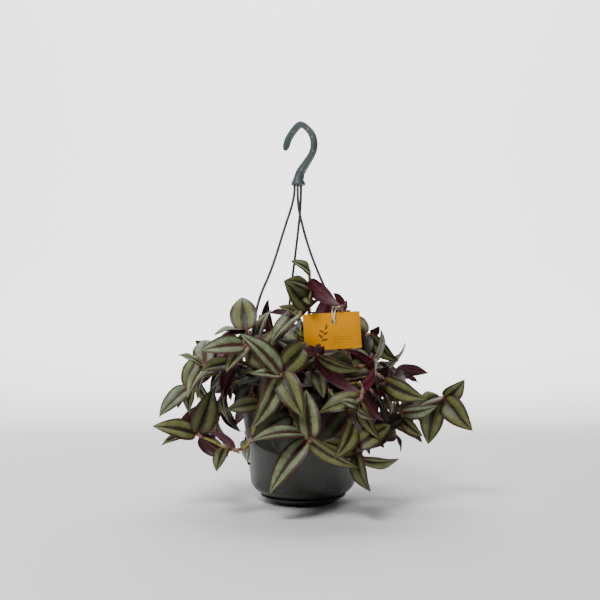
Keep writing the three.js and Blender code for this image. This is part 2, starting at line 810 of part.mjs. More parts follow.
// A leaf of a front shoot, in its own place or a little beside it
function growFrontLeaf(stem, route, [back, turn, lean, facing, long, wide]) {
  const { point } = placeAt(route, route.total - BLADE.root - back);
  const tries = [1.08, 0.96, 0.84].flatMap((size) =>
    SHIFTS.map(([turnMore, leanMore, rollMore]) => {
      const a = rad(turn + turnMore);
      const b = rad(lean + leanMore);
      const roll = rad(facing + rollMore);
      const along = new THREE.Vector3(Math.cos(a) * Math.cos(b), -Math.sin(b), Math.sin(a) * Math.cos(b));
      const front = new THREE.Vector3(0, -1, 0).addScaledVector(along, along.y).normalize();
      const side = along.clone().cross(front);
      const face = front.multiplyScalar(Math.cos(roll)).addScaledVector(side, Math.sin(roll));
      return newLeaf(point, along, face, long * size, wide * size * 1.1, 34);
    }),
  );
  growFirstClear(stem, tries);
}

// A leaf by the rule: two ranks along the stem that wind slowly round it, upper faces to the light
function growRuleLeaf(stem, route, order, draw) {
  const back = RULE_NODES[order];
  const { point, ahead } = placeAt(route, route.total - BLADE.root - back);
  const out = new THREE.Vector3(point.x, point.y, 0).normalize();
  const across = ahead.clone().cross(new THREE.Vector3(0, 0, 1)).normalize();
  const above = across.clone().cross(ahead);
  const opening = RULE_OPENING[Math.min(order, RULE_OPENING.length - 1)] + 6 * draw();
  const wind = 180 * order + 24 * order + 15 * draw();
  const long = RULE_LENGTHS[order] * (1 + 0.1 * draw());
  const arch = 42 + 14 * draw();
  const tries = [];
  for (const size of [1, 0.8, 0.62]) {
    for (const roll of [0, 25, -25, 50, -50, 80, -80, 115, -115]) {
      for (const more of [0, -16, 14]) {
        const a = rad(opening + more);
        const w = rad(wind + roll);
        const along = ahead
          .clone()
          .multiplyScalar(Math.cos(a))
          .addScaledVector(across, Math.sin(a) * Math.cos(w))
          .addScaledVector(above, Math.sin(a) * Math.sin(w));
        along.z -= 0.12 * Math.min(order, 3);
        const face = ahead.clone().multiplyScalar(0.6).addScaledVector(out, 0.6);
        face.z += 0.6;
        tries.push(newLeaf(point, along, face, long * size, long * size * 0.48, arch));
      }
    }
  }
  growFirstClear(stem, tries);
}

function growPlant() {
  const shoots = { ...FRONT_SHOOTS, ...sownStems() };
  const stems = Object.entries(shoots).map(([name, { path, ...shoot }], i) => {
    const [[x, y], ...rest] = path;
    const route = makeRoute([[x, y, STEM.bury], [x, y, STEM.upright], ...rest]);
    const root = new THREE.Vector3(x, y, STEM.bury);
    return { draw: draws(i), bare: LOWEST_LEAF, ...shoot, name, route, root };
  });
  for (const stem of stems) {
    for (let d = 0; d < stem.route.total; d += 4) {
      const { point } = placeAt(stem.route, d);
      obstacles.push({ point, radius: STEM.rootRadius, owner: stem });
    }
  }
  for (const stem of stems) {
    for (const leaf of stem.leaves) growFrontLeaf(stem, stem.route, leaf);
  }
  for (const stem of stems) {
    const taken = Math.max(-9, ...stem.leaves.map(([back]) => back)) + 8;
    for (let order = 0; order < RULE_NODES.length; order++) {
      const back = RULE_NODES[order];
      if (back > taken && stem.route.total - back > stem.bare) {
        growRuleLeaf(stem, stem.route, order, stem.draw);
      }
    }
  }
  return stems;
}

function blockedByHardware() {
  for (const rod of Object.values(RODS)) {
    for (const point of rodCurve(rod).getSpacedPoints(100)) obstacles.push({ point, radius: ROD.radius });
  }
  for (let x = 0; x <= TAG.width; x += 4) {
    for (let z = 0; z <= TAG.height; z += 4) {
      const point = new THREE.Vector3(x - TAG_HOLE_IN_CARD[0], 0, z - TAG_HOLE_IN_CARD[1])
        .applyAxisAngle(new THREE.Vector3(0, 1, 0), rad(-TAG.turn))
        .add(vector(TAG_HOLE));
      obstacles.push({ point, radius: 2 });
    }
  }
  obstacles.push({ point: vector(LOOP.centre), radius: LOOP.high });
}

// ---- The object ----

const PLASTIC = colour(0x343532, 0.38);
const HOOK_PLASTIC = colour(0x586466, 0.45);
const ROD_PLASTIC = colour(0x373e42, 0.45);
const CARD = colour(0xd4940a, 0.85);
const STRING = colour(0xe8dfc8, 0.9);
const EARTH = colour(0x2b211a, 0.97);
const LEAF = colour(0x7d8a5c, 0.42);

blockedByHardware();
const stems = growPlant();

addPiece("saucer", makeSaucer(), PLASTIC);
addPiece("pot", makePot(), PLASTIC);
addPiece("soil", makeSoil(stems), EARTH);
addPiece("hook", makeHook(), HOOK_PLASTIC);
for (const [name, rod] of Object.entries(RODS)) addPiece(name, makeRod(rod), ROD_PLASTIC);
addPiece("tag_card", makeTag(), CARD);
addPiece("tag_loop", makeLoop(), STRING);
for (const stem of stems) {
  const blades = grown.filter((leaf) => leaf.stem === stem).map(({ leaf }) => bladeSolid(leaf));
  const solid = blades.reduce((whole, blade) => whole.add(blade), stemSolid(stem.route));
  addPiece(stem.name, geometryOf(solid), LEAF);
}

export default object;
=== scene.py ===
# A striped trailing tradescantia in a dark plastic hanging pot: the looks of each piece, in metres,
# +Z up, with the front seen along +Y. Each piece keeps the place of the solid that it stands for.
import random
from itertools import product
from math import cos, exp, pi, radians, sin, sqrt, tan

import bmesh
import bpy
import numpy as np
from mathutils import Matrix, Vector


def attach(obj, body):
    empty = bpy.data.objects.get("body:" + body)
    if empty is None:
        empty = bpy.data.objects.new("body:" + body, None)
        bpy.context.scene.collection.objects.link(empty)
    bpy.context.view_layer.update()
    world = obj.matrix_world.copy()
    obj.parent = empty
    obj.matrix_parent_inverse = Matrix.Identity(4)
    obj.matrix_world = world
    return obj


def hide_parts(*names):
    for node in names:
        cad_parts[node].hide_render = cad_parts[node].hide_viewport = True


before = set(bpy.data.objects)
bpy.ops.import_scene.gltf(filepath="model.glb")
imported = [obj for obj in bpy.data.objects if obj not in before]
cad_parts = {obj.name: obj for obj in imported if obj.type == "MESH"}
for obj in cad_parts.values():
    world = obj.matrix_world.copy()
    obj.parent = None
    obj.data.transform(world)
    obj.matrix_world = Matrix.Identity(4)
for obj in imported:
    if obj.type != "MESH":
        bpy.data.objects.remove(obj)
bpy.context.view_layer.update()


# ---- Saucer ----
# A shallow dish of thin black-grey plastic, injection moulded in one piece and pushed on under the
# pot. Its skin is satin, with a fine spark-eroded grain and a little pale dust from the bench.

MM = 0.001
SAUCER_PROFILE = [(0, 0.1), (1.4, 0.1), (1.7, 0.5), (9.6, 0.5), (9.9, 0.15), (11.1, 0.15), (11.4, 0.5),
                  (29.6, 0.5), (30.2, 0), (35, 0), (36.2, 0.5), (48.7, 7.8), (48.9, 8.3), (48.5, 8.8),
                  (47.7, 8.8), (47.2, 8.1), (35.6, 1.4), (0, 1.4)]


def paint(red, green, blue):
    """A colour read from the photograph in 8-bit numbers, as the shader wants it."""
    return tuple(((c / 255 + 0.055) / 1.055) ** 2.4 if c > 10 else c / 255 / 12.92
                 for c in (red, green, blue)) + (1.0,)


def feed(socket, value):
    """Links a mark to a socket, or sets a plain value there."""
    if isinstance(value, Mark):
        socket.id_data.links.new(value.output, socket)
    else:
        socket.default_value = value


class Mark:
    """A value or a colour spread over a surface; sums on it add Math nodes."""

    def __init__(self, output):
        self.output = output

    def node(self, kind, inputs, output=0, **settings):
        added = self.output.id_data.nodes.new(kind)
        for key, value in settings.items():
            setattr(added, key, value)
        for key, value in inputs.items():
            feed(added.inputs[key], value)
        return Mark(added.outputs[output])

    def math(self, operation, *values):
        return self.node("ShaderNodeMath", dict(enumerate(values)), operation=operation)

    def __add__(self, other):
        return self.math("ADD", self, other)

    def __sub__(self, other):
        return self.math("SUBTRACT", self, other)

    def __rsub__(self, other):
        return self.math("SUBTRACT", other, self)

    def __mul__(self, other):
        return self.math("MULTIPLY", self, other)

    def __abs__(self):
        return self.math("ABSOLUTE", self)

    __radd__ = __add__

    def wave(self):
        return self.math("SINE", self)

    def rise(self, low, high):
        """0 below low and 1 above high, with a soft step between; high may be the lower one."""
        return self.node("ShaderNodeMapRange", {"Value": self, "From Min": low, "From Max": high},
                         interpolation_type="SMOOTHSTEP")

    def blend(self, off, on):
        """The colour off where this mark is 0, and on where it is 1: marks or 8-bit numbers."""
        off, on = (end if isinstance(end, Mark) else paint(*end) for end in (off, on))
        return self.node("ShaderNodeMix", {0: self, 6: off, 7: on}, output=2, data_type="RGBA")

    def clouds(self, scale, detail=4.0, rough=0.55):
        return self.node("ShaderNodeTexNoise", {"Vector": self, "Scale": scale, "Detail": detail,
                                                "Roughness": rough})

    def stretched(self, x, y, z):
        return self.node("ShaderNodeMapping", {"Vector": self, "Scale": (x, y, z)})

    def part(self, axis):
        return self.node("ShaderNodeSeparateXYZ", {"Vector": self}, output="XYZ".index(axis))

    def attribute(self, name):
        return self.node("ShaderNodeAttribute", {}, output="Fac", attribute_name=name)


def surface(name):
    """A new material, and its place on the piece, from which its marks are made."""
    material = bpy.data.materials.new(name)
    material.use_nodes = True
    return material, Mark(material.node_tree.nodes.new("ShaderNodeTexCoord").outputs["Object"])


def coat(material, relief=None, depth=0.0, **sockets):
    """Sets the shader's sockets, to plain numbers or to marks, and the relief's bump."""
    shader = material.node_tree.nodes["Principled BSDF"]
    if relief:
        sockets["normal"] = relief.node("ShaderNodeBump", {"Height": relief, "Distance": depth})
    for key, value in sockets.items():
        feed(shader.inputs[key.replace("_", " ").title().replace("Ior", "IOR")], value)
    return material


def moulded(name, body, worn_and_highlight_colour, gloss, highlight_ring=None):
    """Moulded plastic: a fine grain, faint flow marks and pale scuffs, and a thin pale line of painted
    highlight at the height that the ring gives.
    """
    material, at = surface(name)
    flow = at.stretched(1, 1, 0.25).clouds(38, 3)
    grain = at.clouds(1400, 2, 0.6)
    scuffs = at.stretched(1, 1, 3).clouds(260, 6, 0.7).rise(0.62, 0.8)
    wear_and_highlight = flow.rise(0.35, 0.75) * 0.3 + scuffs * 0.12
    if highlight_ring:
        height, width = highlight_ring
        # Painted highlight: a pale line round the given height, broken by noise, lightens the colour there
        # and roughens it.
        line = abs(at.part("Z") - height).rise(width, width * 0.2)
        wear_and_highlight = wear_and_highlight + line * at.clouds(90, 3).rise(0.4, 0.62) * 0.6
    return coat(material, grain * 0.6 + flow * 0.4, 0.00006,
                base_color=wear_and_highlight.math("MINIMUM", wear_and_highlight, 1.0).blend(body, worn_and_highlight_colour),
                roughness=gloss + wear_and_highlight * 0.16 + grain * 0.05)


def turned(bm, profile, steps=144):
    """Spins a profile of (radius, height) in millimetres round the upright axis, as a lathe does."""
    spine = [bm.verts.new((r * MM, 0, z * MM)) for r, z in profile]
    edges = [bm.edges.new(pair) for pair in zip(spine, spine[1:])]
    bmesh.ops.spin(bm, geom=spine + edges, axis=(0, 0, 1), cent=(0, 0, 0), steps=steps,
                   angle=2 * pi, use_merge=True)
    bmesh.ops.remove_doubles(bm, verts=bm.verts, dist=1e-6)
    bmesh.ops.recalc_face_normals(bm, faces=bm.faces)


def in_scene(name, data):
    """A new object of the scene with this mesh, lamp or camera."""
    thing = bpy.data.objects.new(name, data)
    bpy.context.scene.collection.objects.link(thing)
    return thing


def shaped(name, bm, *finishes):
    """A new object of the scene with the bmesh's shape, and these materials."""
    mesh = bpy.data.meshes.new(name)
    bm.to_mesh(mesh)
    bm.free()
    for finish in finishes:
        mesh.materials.append(finish)
    return in_scene(name, mesh)


def finished(name, bm, node, slot, *finishes, sharp=38):
    """Makes the piece from its mesh, in the place of its solid."""
    piece = shaped(name, bm, *finishes)
    piece.data.shade_smooth()
    piece.data.set_sharp_from_angle(angle=radians(sharp))
    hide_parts(node)
    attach(piece, "root")
    return piece


def soften(piece, width):
    """Rounds the piece's sharp edges, as the mould does."""
    bevel = piece.modifiers.new("rounded", "BEVEL")
    bevel.width = width * MM
    bevel.segments = 2
    bevel.limit_method = "ANGLE"
    bevel.angle_limit = radians(32)


bm = bmesh.new()
turned(bm, SAUCER_PROFILE)
saucer_plastic = moulded("saucer_plastic", (36, 37, 35), (80, 81, 78), 0.34)
soften(finished("saucer_dish", bm, "saucer", "pot_plastic", saucer_plastic), 0.25)


# ---- Pot ----
# A round pot of the same dark plastic, moulded in one piece: a thin drafted wall with a rounded
# knee, a downturned rim skirt with a shallow band, and drain holes that the saucer covers.

WALL, POT_FLOOR, MOUTH_RADIUS = 1.3, 2, 71.3
RIM_RADIUS, RIM_TOP, SKIRT_BOTTOM = 74.88, 126, 111.5
POT_OUTSIDE = [(34.4, POT_FLOOR), (40.2, 5.0), (46.3, 8.9), (51.3, 12.4), (54.6, 15.2), (56.9, 18),
               (58.5, 20.9), (59.5, 24), (61.6, 43.5), (63.6, 63), (66.1, 80.5), (68.5, 98),
               (MOUTH_RADIUS, 124.7)]
POT_INSIDE = [(34, POT_FLOOR + WALL), *((r - WALL, z) for r, z in POT_OUTSIDE[1:-1]),
              (MOUTH_RADIUS - WALL, RIM_TOP - 1)]
SKIRT = [(RIM_RADIUS - inward, z) for inward, z in (
    (WALL, RIM_TOP - WALL), (WALL, SKIRT_BOTTOM), (0, SKIRT_BOTTOM), (0, SKIRT_BOTTOM + 3),
    (0.6, SKIRT_BOTTOM + 3.8), (0.6, RIM_TOP - 4.6), (0, RIM_TOP - 3.8), (0, RIM_TOP - 1),
    (0.3, RIM_TOP - 0.3), (1, RIM_TOP))] + [(MOUTH_RADIUS - 0.8, RIM_TOP)]
KNEE_HIGHLIGHT_RING = (20.6 * MM, 1.2 * MM)  # the height and half-width of the painted highlight line over the knee
DRAINS, DRAIN_RADIUS, DRAIN_REACH = 4, 3, 22

bm = bmesh.new()
turned(bm, [(0, POT_FLOOR)] + POT_OUTSIDE + SKIRT + POT_INSIDE[::-1] + [(0, POT_FLOOR + WALL)])
pot_plastic = moulded("pot_plastic", (35, 36, 33), (82, 83, 79), 0.32, highlight_ring=KNEE_HIGHLIGHT_RING)
pot = finished("pot_shell", bm, "pot", "pot_plastic", pot_plastic)
soften(pot, 0.3)

drills = bmesh.new()
for i in range(DRAINS):
    turn = Matrix.Rotation(2 * pi * i / DRAINS, 4, "Z")
    bmesh.ops.create_cone(drills, cap_ends=True, segments=24, radius1=DRAIN_RADIUS * MM,
                          radius2=DRAIN_RADIUS * MM, depth=4 * POT_FLOOR * MM,
                          matrix=turn @ Matrix.Translation((DRAIN_REACH * MM, 0, POT_FLOOR * MM)))
cut = pot.modifiers.new("drains", "BOOLEAN")
cut.operation = "DIFFERENCE"
cut.object = shaped("drain_drills", drills)
cut.solver = "FAST"
whole = pot.evaluated_get(bpy.context.evaluated_depsgraph_get())
drilled = bpy.data.meshes.new_from_object(whole)
bpy.data.objects.remove(cut.object)
pot.modifiers.clear()
pot.data = drilled


# ---- Potting soil ----
# Dark moist peat with coarse fibres, bark crumbs and a few pale perlite grains. It was filled in
# loose to just under the rim and settled with watering, so its top is uneven.

SOIL_RADIUS, SOIL_EDGE, SOIL_CROWN = 67, 110.6, 3.6
SOIL_SIDE = [(0, 3.6), (32.9, 3.6), (54.2, 16), (62.1, 63), (SOIL_RADIUS, 98), (SOIL_RADIUS, 110.3)]
SOIL_RINGS, CRUMB_REACH, CRUMBS, PERLITE_EVERY = 14, 63, 420, 9


def soil_height(radius):
    return SOIL_EDGE + SOIL_CROWN * (1 - (radius / SOIL_RADIUS) ** 2)


def give_finish(verts, number):
    """Gives the faces at these vertices the piece's finish of this number, and gives them back."""
    faces = {face for vert in verts for face in vert.link_faces}
    for face in faces:
        face.material_index = number
    return faces


soil_draw = random.Random(41)
bm = bmesh.new()
radii = [SOIL_RADIUS * (1 - k / SOIL_RINGS) for k in range(1, SOIL_RINGS + 1)]
turned(bm, SOIL_SIDE + [(radius, soil_height(radius)) for radius in radii], steps=72)
for vert in bm.verts:
    if vert.co.z > (SOIL_EDGE - 0.1) * MM:
        vert.co.z += soil_draw.uniform(-0.9, 0.5) * MM
for k in range(CRUMBS):
    reach = CRUMB_REACH * sqrt(soil_draw.random())
    way = soil_draw.uniform(0, 2 * pi)
    size = soil_draw.uniform(0.5, 1.7)
    height = soil_height(reach) + size * 0.3
    place = Matrix.Translation((reach * cos(way) * MM, reach * sin(way) * MM, height * MM))
    spin = Matrix.Rotation(soil_draw.uniform(0, 6), 4, (soil_draw.random(), soil_draw.random(), 1))
    shape = Matrix.Diagonal((size * MM, size * soil_draw.uniform(0.5, 1.4) * MM, size * 0.6 * MM, 1))
    crumb = bmesh.ops.create_icosphere(bm, subdivisions=1, radius=1, matrix=place @ spin @ shape)
    if k % PERLITE_EVERY == 0:
        give_finish(crumb["verts"], 1)

peat, at = surface("peat")
fibres = at.stretched(1, 3, 1).clouds(420, 6, 0.75)
coat(peat, at.clouds(900, 5, 0.7), 0.0006, base_color=fibres.rise(0.35, 0.7).blend(
    (26, 20, 16), (72, 56, 42)), roughness=0.95 - fibres * 0.1)
perlite, at = surface("perlite")
coat(perlite, at.clouds(2600, 3), 0.0001, base_color=at.clouds(700).blend(
    (150, 142, 130), (205, 200, 190)), roughness=at.clouds(900) * 0.2 + 0.75)
finished("soil_fill", bm, "soil", "soil", peat, perlite, sharp=60)


# ---- Hook ----
# A stout hook of grey-green plastic: a band of nearly square section with chamfered edges,
# bent to a pointed crown, that swells into a small trumpet. The rods are pushed in from below.

COLLAR_X = -5.5
HOOK_TURN = radians(-29)
HOOK_LINE = [(-20.9, 403.5), (-17.3, 415), (-10.6, 425), (-3, 431), (4, 426.5), (10.4, 417.3), (12.7, 405.8),
             (10.2, 395), (3.4, 384.5), (-3.2, 374.5), (COLLAR_X, 364)]
BAND_WIDTH, BAND_DEPTH, BAND_CHAMFER = 6.8, 7.6, 1.2
TIP_ROUNDING, TIP_LONGER = [0.55, 0.8, 0.94], 0.6
FLARE_TOP, FLARE_HEIGHT, FLARE_MORE = 394, 24, 0.34
TRUMPET = [(0, 360), (6.8, 360), (8, 360.4), (8.5, 361.3), (8.3, 362.6), (7.4, 364.4), (6.5, 366.4),
           (5.8, 368.4), (5, 370.6), (3.6, 372.6), (0, 373.6)]
# Places of small raised dots of pale plastic on the band's front.
PALE_DOTS = [(-10.9, 422.2), (5.1, 422.8), (10.3, 414.2), (11.4, 397.1), (-1.1, 376.3)]
PIP_RADIUS, PIP_TOP_RADIUS, PIP_HIGH, PIP_PROUD, PIP_ASIDE = 0.62, 0.45, 0.3, 0.03, 2.2
ACROSS = np.array((0.0, 1.0, 0.0))  # from the hook's front to its back


def unit(vector):
    return vector / np.linalg.norm(vector)


def through(points, steps):
    """A smooth line through all the points, with each point's place and direction."""
    points = [np.array(p, float) for p in points]
    points = [2 * points[0] - points[1]] + points + [2 * points[-1] - points[-2]]
    line = []
    for i in range(steps + 1):
        share = i / steps * (len(points) - 3)
        k = min(int(share), len(points) - 4)
        t = share - k
        before, start, end, after = points[k:k + 4]
        leave, arrive = (end - before) / 2, (after - start) / 2
        bend, twist = -3 * start + 3 * end - 2 * leave - arrive, 2 * start - 2 * end + leave + arrive
        line.append((start + leave * t + bend * t ** 2 + twist * t ** 3,
                     leave + 2 * bend * t + 3 * twist * t ** 2))
    return line


def swept(bm, rings, finish=0):
    """A closed skin through rings of points, from a sheet whose two long sides are joined."""
    sides, last = len(rings[0]), len(rings) - 1
    sheet = bmesh.ops.create_grid(bm, x_segments=sides, y_segments=last, size=0.5)["verts"]
    faces = give_finish(sheet, finish)
    for vert in sheet:
        column, row = round((vert.co.x + 0.5) * sides), round((vert.co.y + 0.5) * last)
        vert.co = Vector(rings[row][column % sides]) * MM
    bmesh.ops.remove_doubles(bm, verts=sheet, dist=1e-7)
    skin = {face for face in faces if face.is_valid}
    rims = [edge for edge in {edge for face in skin for edge in face.edges} if edge.is_boundary]
    if rims:
        skin.update(bmesh.ops.holes_fill(bm, edges=rims, sides=0)["faces"])
    bmesh.ops.recalc_face_normals(bm, faces=list(skin))
    return skin


def band_ring(middle, ahead, scale):
    """The band's section at one place: a rectangle with its corners cut off."""
    outward = np.cross(ACROSS, unit(ahead))
    half, deep = BAND_WIDTH / 2 * scale, BAND_DEPTH / 2 * scale
    corners = []
    for x, y, order in ((1, -1, 1), (1, 1, -1), (-1, 1, 1), (-1, -1, -1)):
        pair = [(x * (half - BAND_CHAMFER), y * deep), (x * half, y * (deep - BAND_CHAMFER))]
        corners += pair[::order]
    return [middle + outward * a + ACROSS * b for a, b in corners]


def foot_flare(z):
    """The band swells into its collar: how much thicker it is at this height."""
    return 1 + FLARE_MORE * min(max((FLARE_TOP - z) / FLARE_HEIGHT, 0), 1) ** 1.4


bm = bmesh.new()
turned(bm, TRUMPET, steps=48)
flat = cos(HOOK_TURN)
middle_line = through([((x - COLLAR_X) / flat, 0, z) for x, z in HOOK_LINE], 64)
sizes = TIP_ROUNDING + [foot_flare(middle[2]) for middle, ahead in middle_line[len(TIP_ROUNDING):]]
rings = [band_ring(middle, ahead, size) for (middle, ahead), size in zip(middle_line, sizes)]
tip_shift = unit(middle_line[0][1]) * TIP_LONGER
rings[0] = [corner - tip_shift for corner in rings[0]]
swept(bm, rings)
for x, z in PALE_DOTS:
    front = -ACROSS * (BAND_DEPTH / 2 * foot_flare(z) + PIP_PROUD)
    spot = np.array(((x - COLLAR_X + front[1] * sin(HOOK_TURN)) / flat, 0, z))
    aside = min((spot - middle for middle, ahead in middle_line), key=np.linalg.norm)
    spot += front - aside * (1 - min(1, PIP_ASIDE / np.linalg.norm(aside)))
    facing = Matrix.Translation(Vector(spot) * MM) @ Matrix.Rotation(pi / 2, 4, "X")
    pip = bmesh.ops.create_cone(bm, cap_ends=True, segments=12, radius1=PIP_RADIUS * MM,
                                radius2=PIP_TOP_RADIUS * MM, depth=PIP_HIGH * MM, matrix=facing)
    give_finish(pip["verts"], 1)
bmesh.ops.rotate(bm, verts=bm.verts, cent=(0, 0, 0), matrix=Matrix.Rotation(HOOK_TURN, 3, "Z"))
bmesh.ops.translate(bm, verts=bm.verts, vec=(COLLAR_X * MM, 0, 0))
hook_plastic = moulded("hook_plastic", (60, 72, 74), (92, 105, 106), 0.42)
pip_plastic = moulded("hook_pips", (205, 209, 209), (225, 228, 228), 0.3)
soften(finished("moulded_hook", bm, "hook", "hook_plastic", hook_plastic, pip_plastic), 0.3)


# ---- Rods ----
# Three thin springy rods of dark plastic. Each one is pushed into the hook's trumpet, bows out
# over the plants, and ends in a flat clip that snaps round the rim's skirt from below.

ROD_RADIUS, ROD_SIDES, ROD_FIT = 1.5, 14, 0.3
SOLID_RIM, FACET = 75, cos(pi / 36)  # the rim's solid has 36 flat sides
RODS = {
    "rod_left": (225, [(-9.8, -1.2, 345), (-22.3, -13, 305), (-35, -27, 260), (-49.5, -41, 226),
                       (-54.6, -50, 190)]),
    "rod_middle": (105, [(-2.4, 3.4, 345), (-4, 11, 324), (-8.8, 28, 284), (-15, 50, 240), (-19, 67, 196)]),
    "rod_right": (345, [(-6.2, -4.3, 345), (-4.8, -5.6, 328), (8.2, -8, 279), (33, -11, 222),
                        (58, -15.5, 172)]),
}
ROD_TOP, CLIP_TOP, ROD_FOOT = 365.7, 150, 123
CLIP_INSIDE, CLIP_LIP = SOLID_RIM * FACET + ROD_FIT, (SOLID_RIM - WALL) * FACET - ROD_FIT
CLIP_OUTSIDE, CLIP_UNDER, CLIP_WIDTH = CLIP_INSIDE + 2 * ROD_RADIUS, SKIRT_BOTTOM - ROD_FIT, 6
CLIP_OUTLINE = [(CLIP_INSIDE, 126.6), (CLIP_OUTSIDE - 0.7, 127), (CLIP_OUTSIDE, 126),
                (CLIP_OUTSIDE, CLIP_UNDER - 1.6), (CLIP_OUTSIDE - 1, CLIP_UNDER - 2.6),
                (CLIP_LIP - 0.6, CLIP_UNDER - 2.6), (CLIP_LIP - 1.1, CLIP_UNDER - 2.1),
                (CLIP_LIP - 1.1, CLIP_UNDER + 2.7), (CLIP_LIP - 0.5, CLIP_UNDER + 3),
                (CLIP_LIP, CLIP_UNDER + 2.2), (CLIP_LIP, CLIP_UNDER), (CLIP_INSIDE, CLIP_UNDER)]


def rounded(points, pieces):
    """A line that leaves and ends straight and rounds each corner from middle to middle of its legs."""
    points = [np.array(p, float) for p in points]
    line = [points[0], (points[0] + points[1]) / 2]
    for before, corner, after in zip(points, points[1:], points[2:]):
        start, end = (before + corner) / 2, (corner + after) / 2
        for i in range(1, pieces + 1):
            t = i / pieces
            line.append(start * (1 - t) ** 2 + corner * 2 * t * (1 - t) + end * t * t)
    return line + [points[-1]]


def round_rings(line, radii, sides):
    """Rings of points round a line, each square to it."""
    side = np.array((1.0, 0.0, 0.0))
    rings = []
    for i, middle in enumerate(line):
        ahead = unit(line[min(i + 1, len(line) - 1)] - line[max(i - 1, 0)])
        side = unit(side - ahead * side.dot(ahead))
        other = np.cross(ahead, side)
        turns = [2 * pi * k / sides for k in range(sides)]
        rings.append([middle + (side * cos(a) + other * sin(a)) * radii[i] for a in turns])
    return rings


def rod_line(angle, points, pieces):
    """The rod's middle line, from inside the trumpet to inside its clip."""
    foot = np.array((cos(radians(angle)), sin(radians(angle)), 0)) * (CLIP_INSIDE + ROD_RADIUS)
    ends = [foot + (0, 0, CLIP_TOP), foot + (0, 0, ROD_FOOT)]
    return rounded([(*points[0][:2], ROD_TOP)] + points + ends, pieces)


def drawn_out(bm, faces, vec):
    """Extrudes the faces by vec, and gives back the new vertices."""
    geom = bmesh.ops.extrude_face_region(bm, geom=faces)["geom"]
    verts = [part for part in geom if isinstance(part, bmesh.types.BMVert)]
    bmesh.ops.translate(bm, verts=verts, vec=vec)
    return verts


rod_plastic = moulded("rod_plastic", (38, 44, 47), (84, 92, 96), 0.5)
for name, (angle, points) in RODS.items():
    bm = bmesh.new()
    line = rod_line(angle, points, 10)
    swept(bm, round_rings(line, [ROD_RADIUS] * len(line), ROD_SIDES))
    near_side = [bm.verts.new(Vector((r, -CLIP_WIDTH / 2, z)) * MM) for r, z in CLIP_OUTLINE]
    far_side = drawn_out(bm, [bm.faces.new(near_side)], (0, CLIP_WIDTH * MM, 0))
    bmesh.ops.rotate(bm, verts=near_side + far_side, cent=(0, 0, 0),
                     matrix=Matrix.Rotation(radians(angle), 3, "Z"))
    bmesh.ops.recalc_face_normals(bm, faces=bm.faces)
    soften(finished("clip_" + name, bm, name, "rod_plastic", rod_plastic), 0.35)


# ---- Card tag ----
# A stiff ochre kraft card, die cut with a punched hole. It has bent a little near one edge where it
# was folded from its sheet, and its cut edges show the paler core. A plant sprig is printed on it.

CARD_WIDTH, CARD_HEIGHT, CARD_THICK, CARD_TURN = 64, 41, 0.6, radians(-3.6)
CARD_HOLE, HOLE_AT, HOLE_RADIUS = (34.7, 31.2), (34.6, -22, 202.5), 2.8
FLAP, FLAP_BEND, CARD_CORNER = 5, tan(radians(14)), 0.5
PRINTED_STALK = [(19.2, 9), (19.7, 9), (25.2, 25), (24.9, 25.1)]
# each printed leaf's place, turn, length and width; each printed line's height and length
PRINTED_LEAVES = [(19.7, 10.4, 12, 7.6, 2.8), (20.6, 13, 128, 7.2, 2.7), (21.9, 16.6, 30, 7, 2.6),
                  (22.7, 19, 146, 6.4, 2.4), (23.9, 22.4, 46, 5.6, 2.1), (24.9, 24.8, 76, 5, 1.9)]
PRINTED_LINES, LINE_START, LINE_THICK = [(13.2, 21), (10.2, 21), (7.2, 13)], 33, 0.35


def on_the_card(x, z, proud=0.0):
    """A place on the card's front, from its lower left corner, as it hangs."""
    back = FLAP_BEND * max(x - (CARD_WIDTH - FLAP), 0)
    place = Vector((x - CARD_HOLE[0], back - proud - CARD_THICK / 2, z - CARD_HOLE[1]))
    return (Matrix.Rotation(CARD_TURN, 3, "Y") @ place + Vector(HOLE_AT)) * MM


def printed(outline):
    """A patch of ink with this outline on the card."""
    face = bm.faces.new([bm.verts.new(on_the_card(x, z, 0.02)) for x, z in outline])
    face.material_index = 2
    bmesh.ops.triangulate(bm, faces=[face])


def leaf_print(x, z, turn, long, wide):
    """The outline of a printed leaf that starts at a point and is turned from the right."""
    steps = [(k / 10, sin(pi * (k / 10) ** 0.8) * wide / 2) for k in range(11)]
    outline = steps + [(s, -w) for s, w in steps[9:0:-1]]
    c, d = cos(radians(turn)), sin(radians(turn))
    return [(x + s * long * c - w * d, z + s * long * d + w * c) for s, w in outline]


bm = bmesh.new()
edge_points = [(CARD_CORNER, 0), (CARD_WIDTH - FLAP, 0), (CARD_WIDTH - CARD_CORNER, 0),
               (CARD_WIDTH, CARD_CORNER), (CARD_WIDTH, CARD_HEIGHT - CARD_CORNER),
               (CARD_WIDTH - CARD_CORNER, CARD_HEIGHT), (CARD_WIDTH - FLAP, CARD_HEIGHT),
               (CARD_CORNER, CARD_HEIGHT), (0, CARD_HEIGHT - CARD_CORNER), (0, CARD_CORNER)]
hole_points = [(CARD_HOLE[0] + HOLE_RADIUS * cos(turn), CARD_HOLE[1] + HOLE_RADIUS * sin(turn))
               for turn in (2 * pi * k / 32 for k in range(32))]
edges = []
for outline in (edge_points, hole_points):
    verts = [bm.verts.new((x, 0, z)) for x, z in outline]
    edges += [bm.edges.new((verts[i - 1], verts[i])) for i in range(len(verts))]
bmesh.ops.triangle_fill(bm, edges=edges, use_beauty=True, normal=(0, -1, 0))
bmesh.ops.bisect_plane(bm, geom=bm.verts[:] + bm.edges[:] + bm.faces[:], plane_co=(CARD_WIDTH - FLAP, 0, 0),
                       plane_no=(1, 0, 0))
drawn_out(bm, bm.faces[:], (0, CARD_THICK, 0))
bmesh.ops.recalc_face_normals(bm, faces=bm.faces)
for face in bm.faces:
    face.material_index = 0 if abs(face.normal.y) > 0.5 else 1
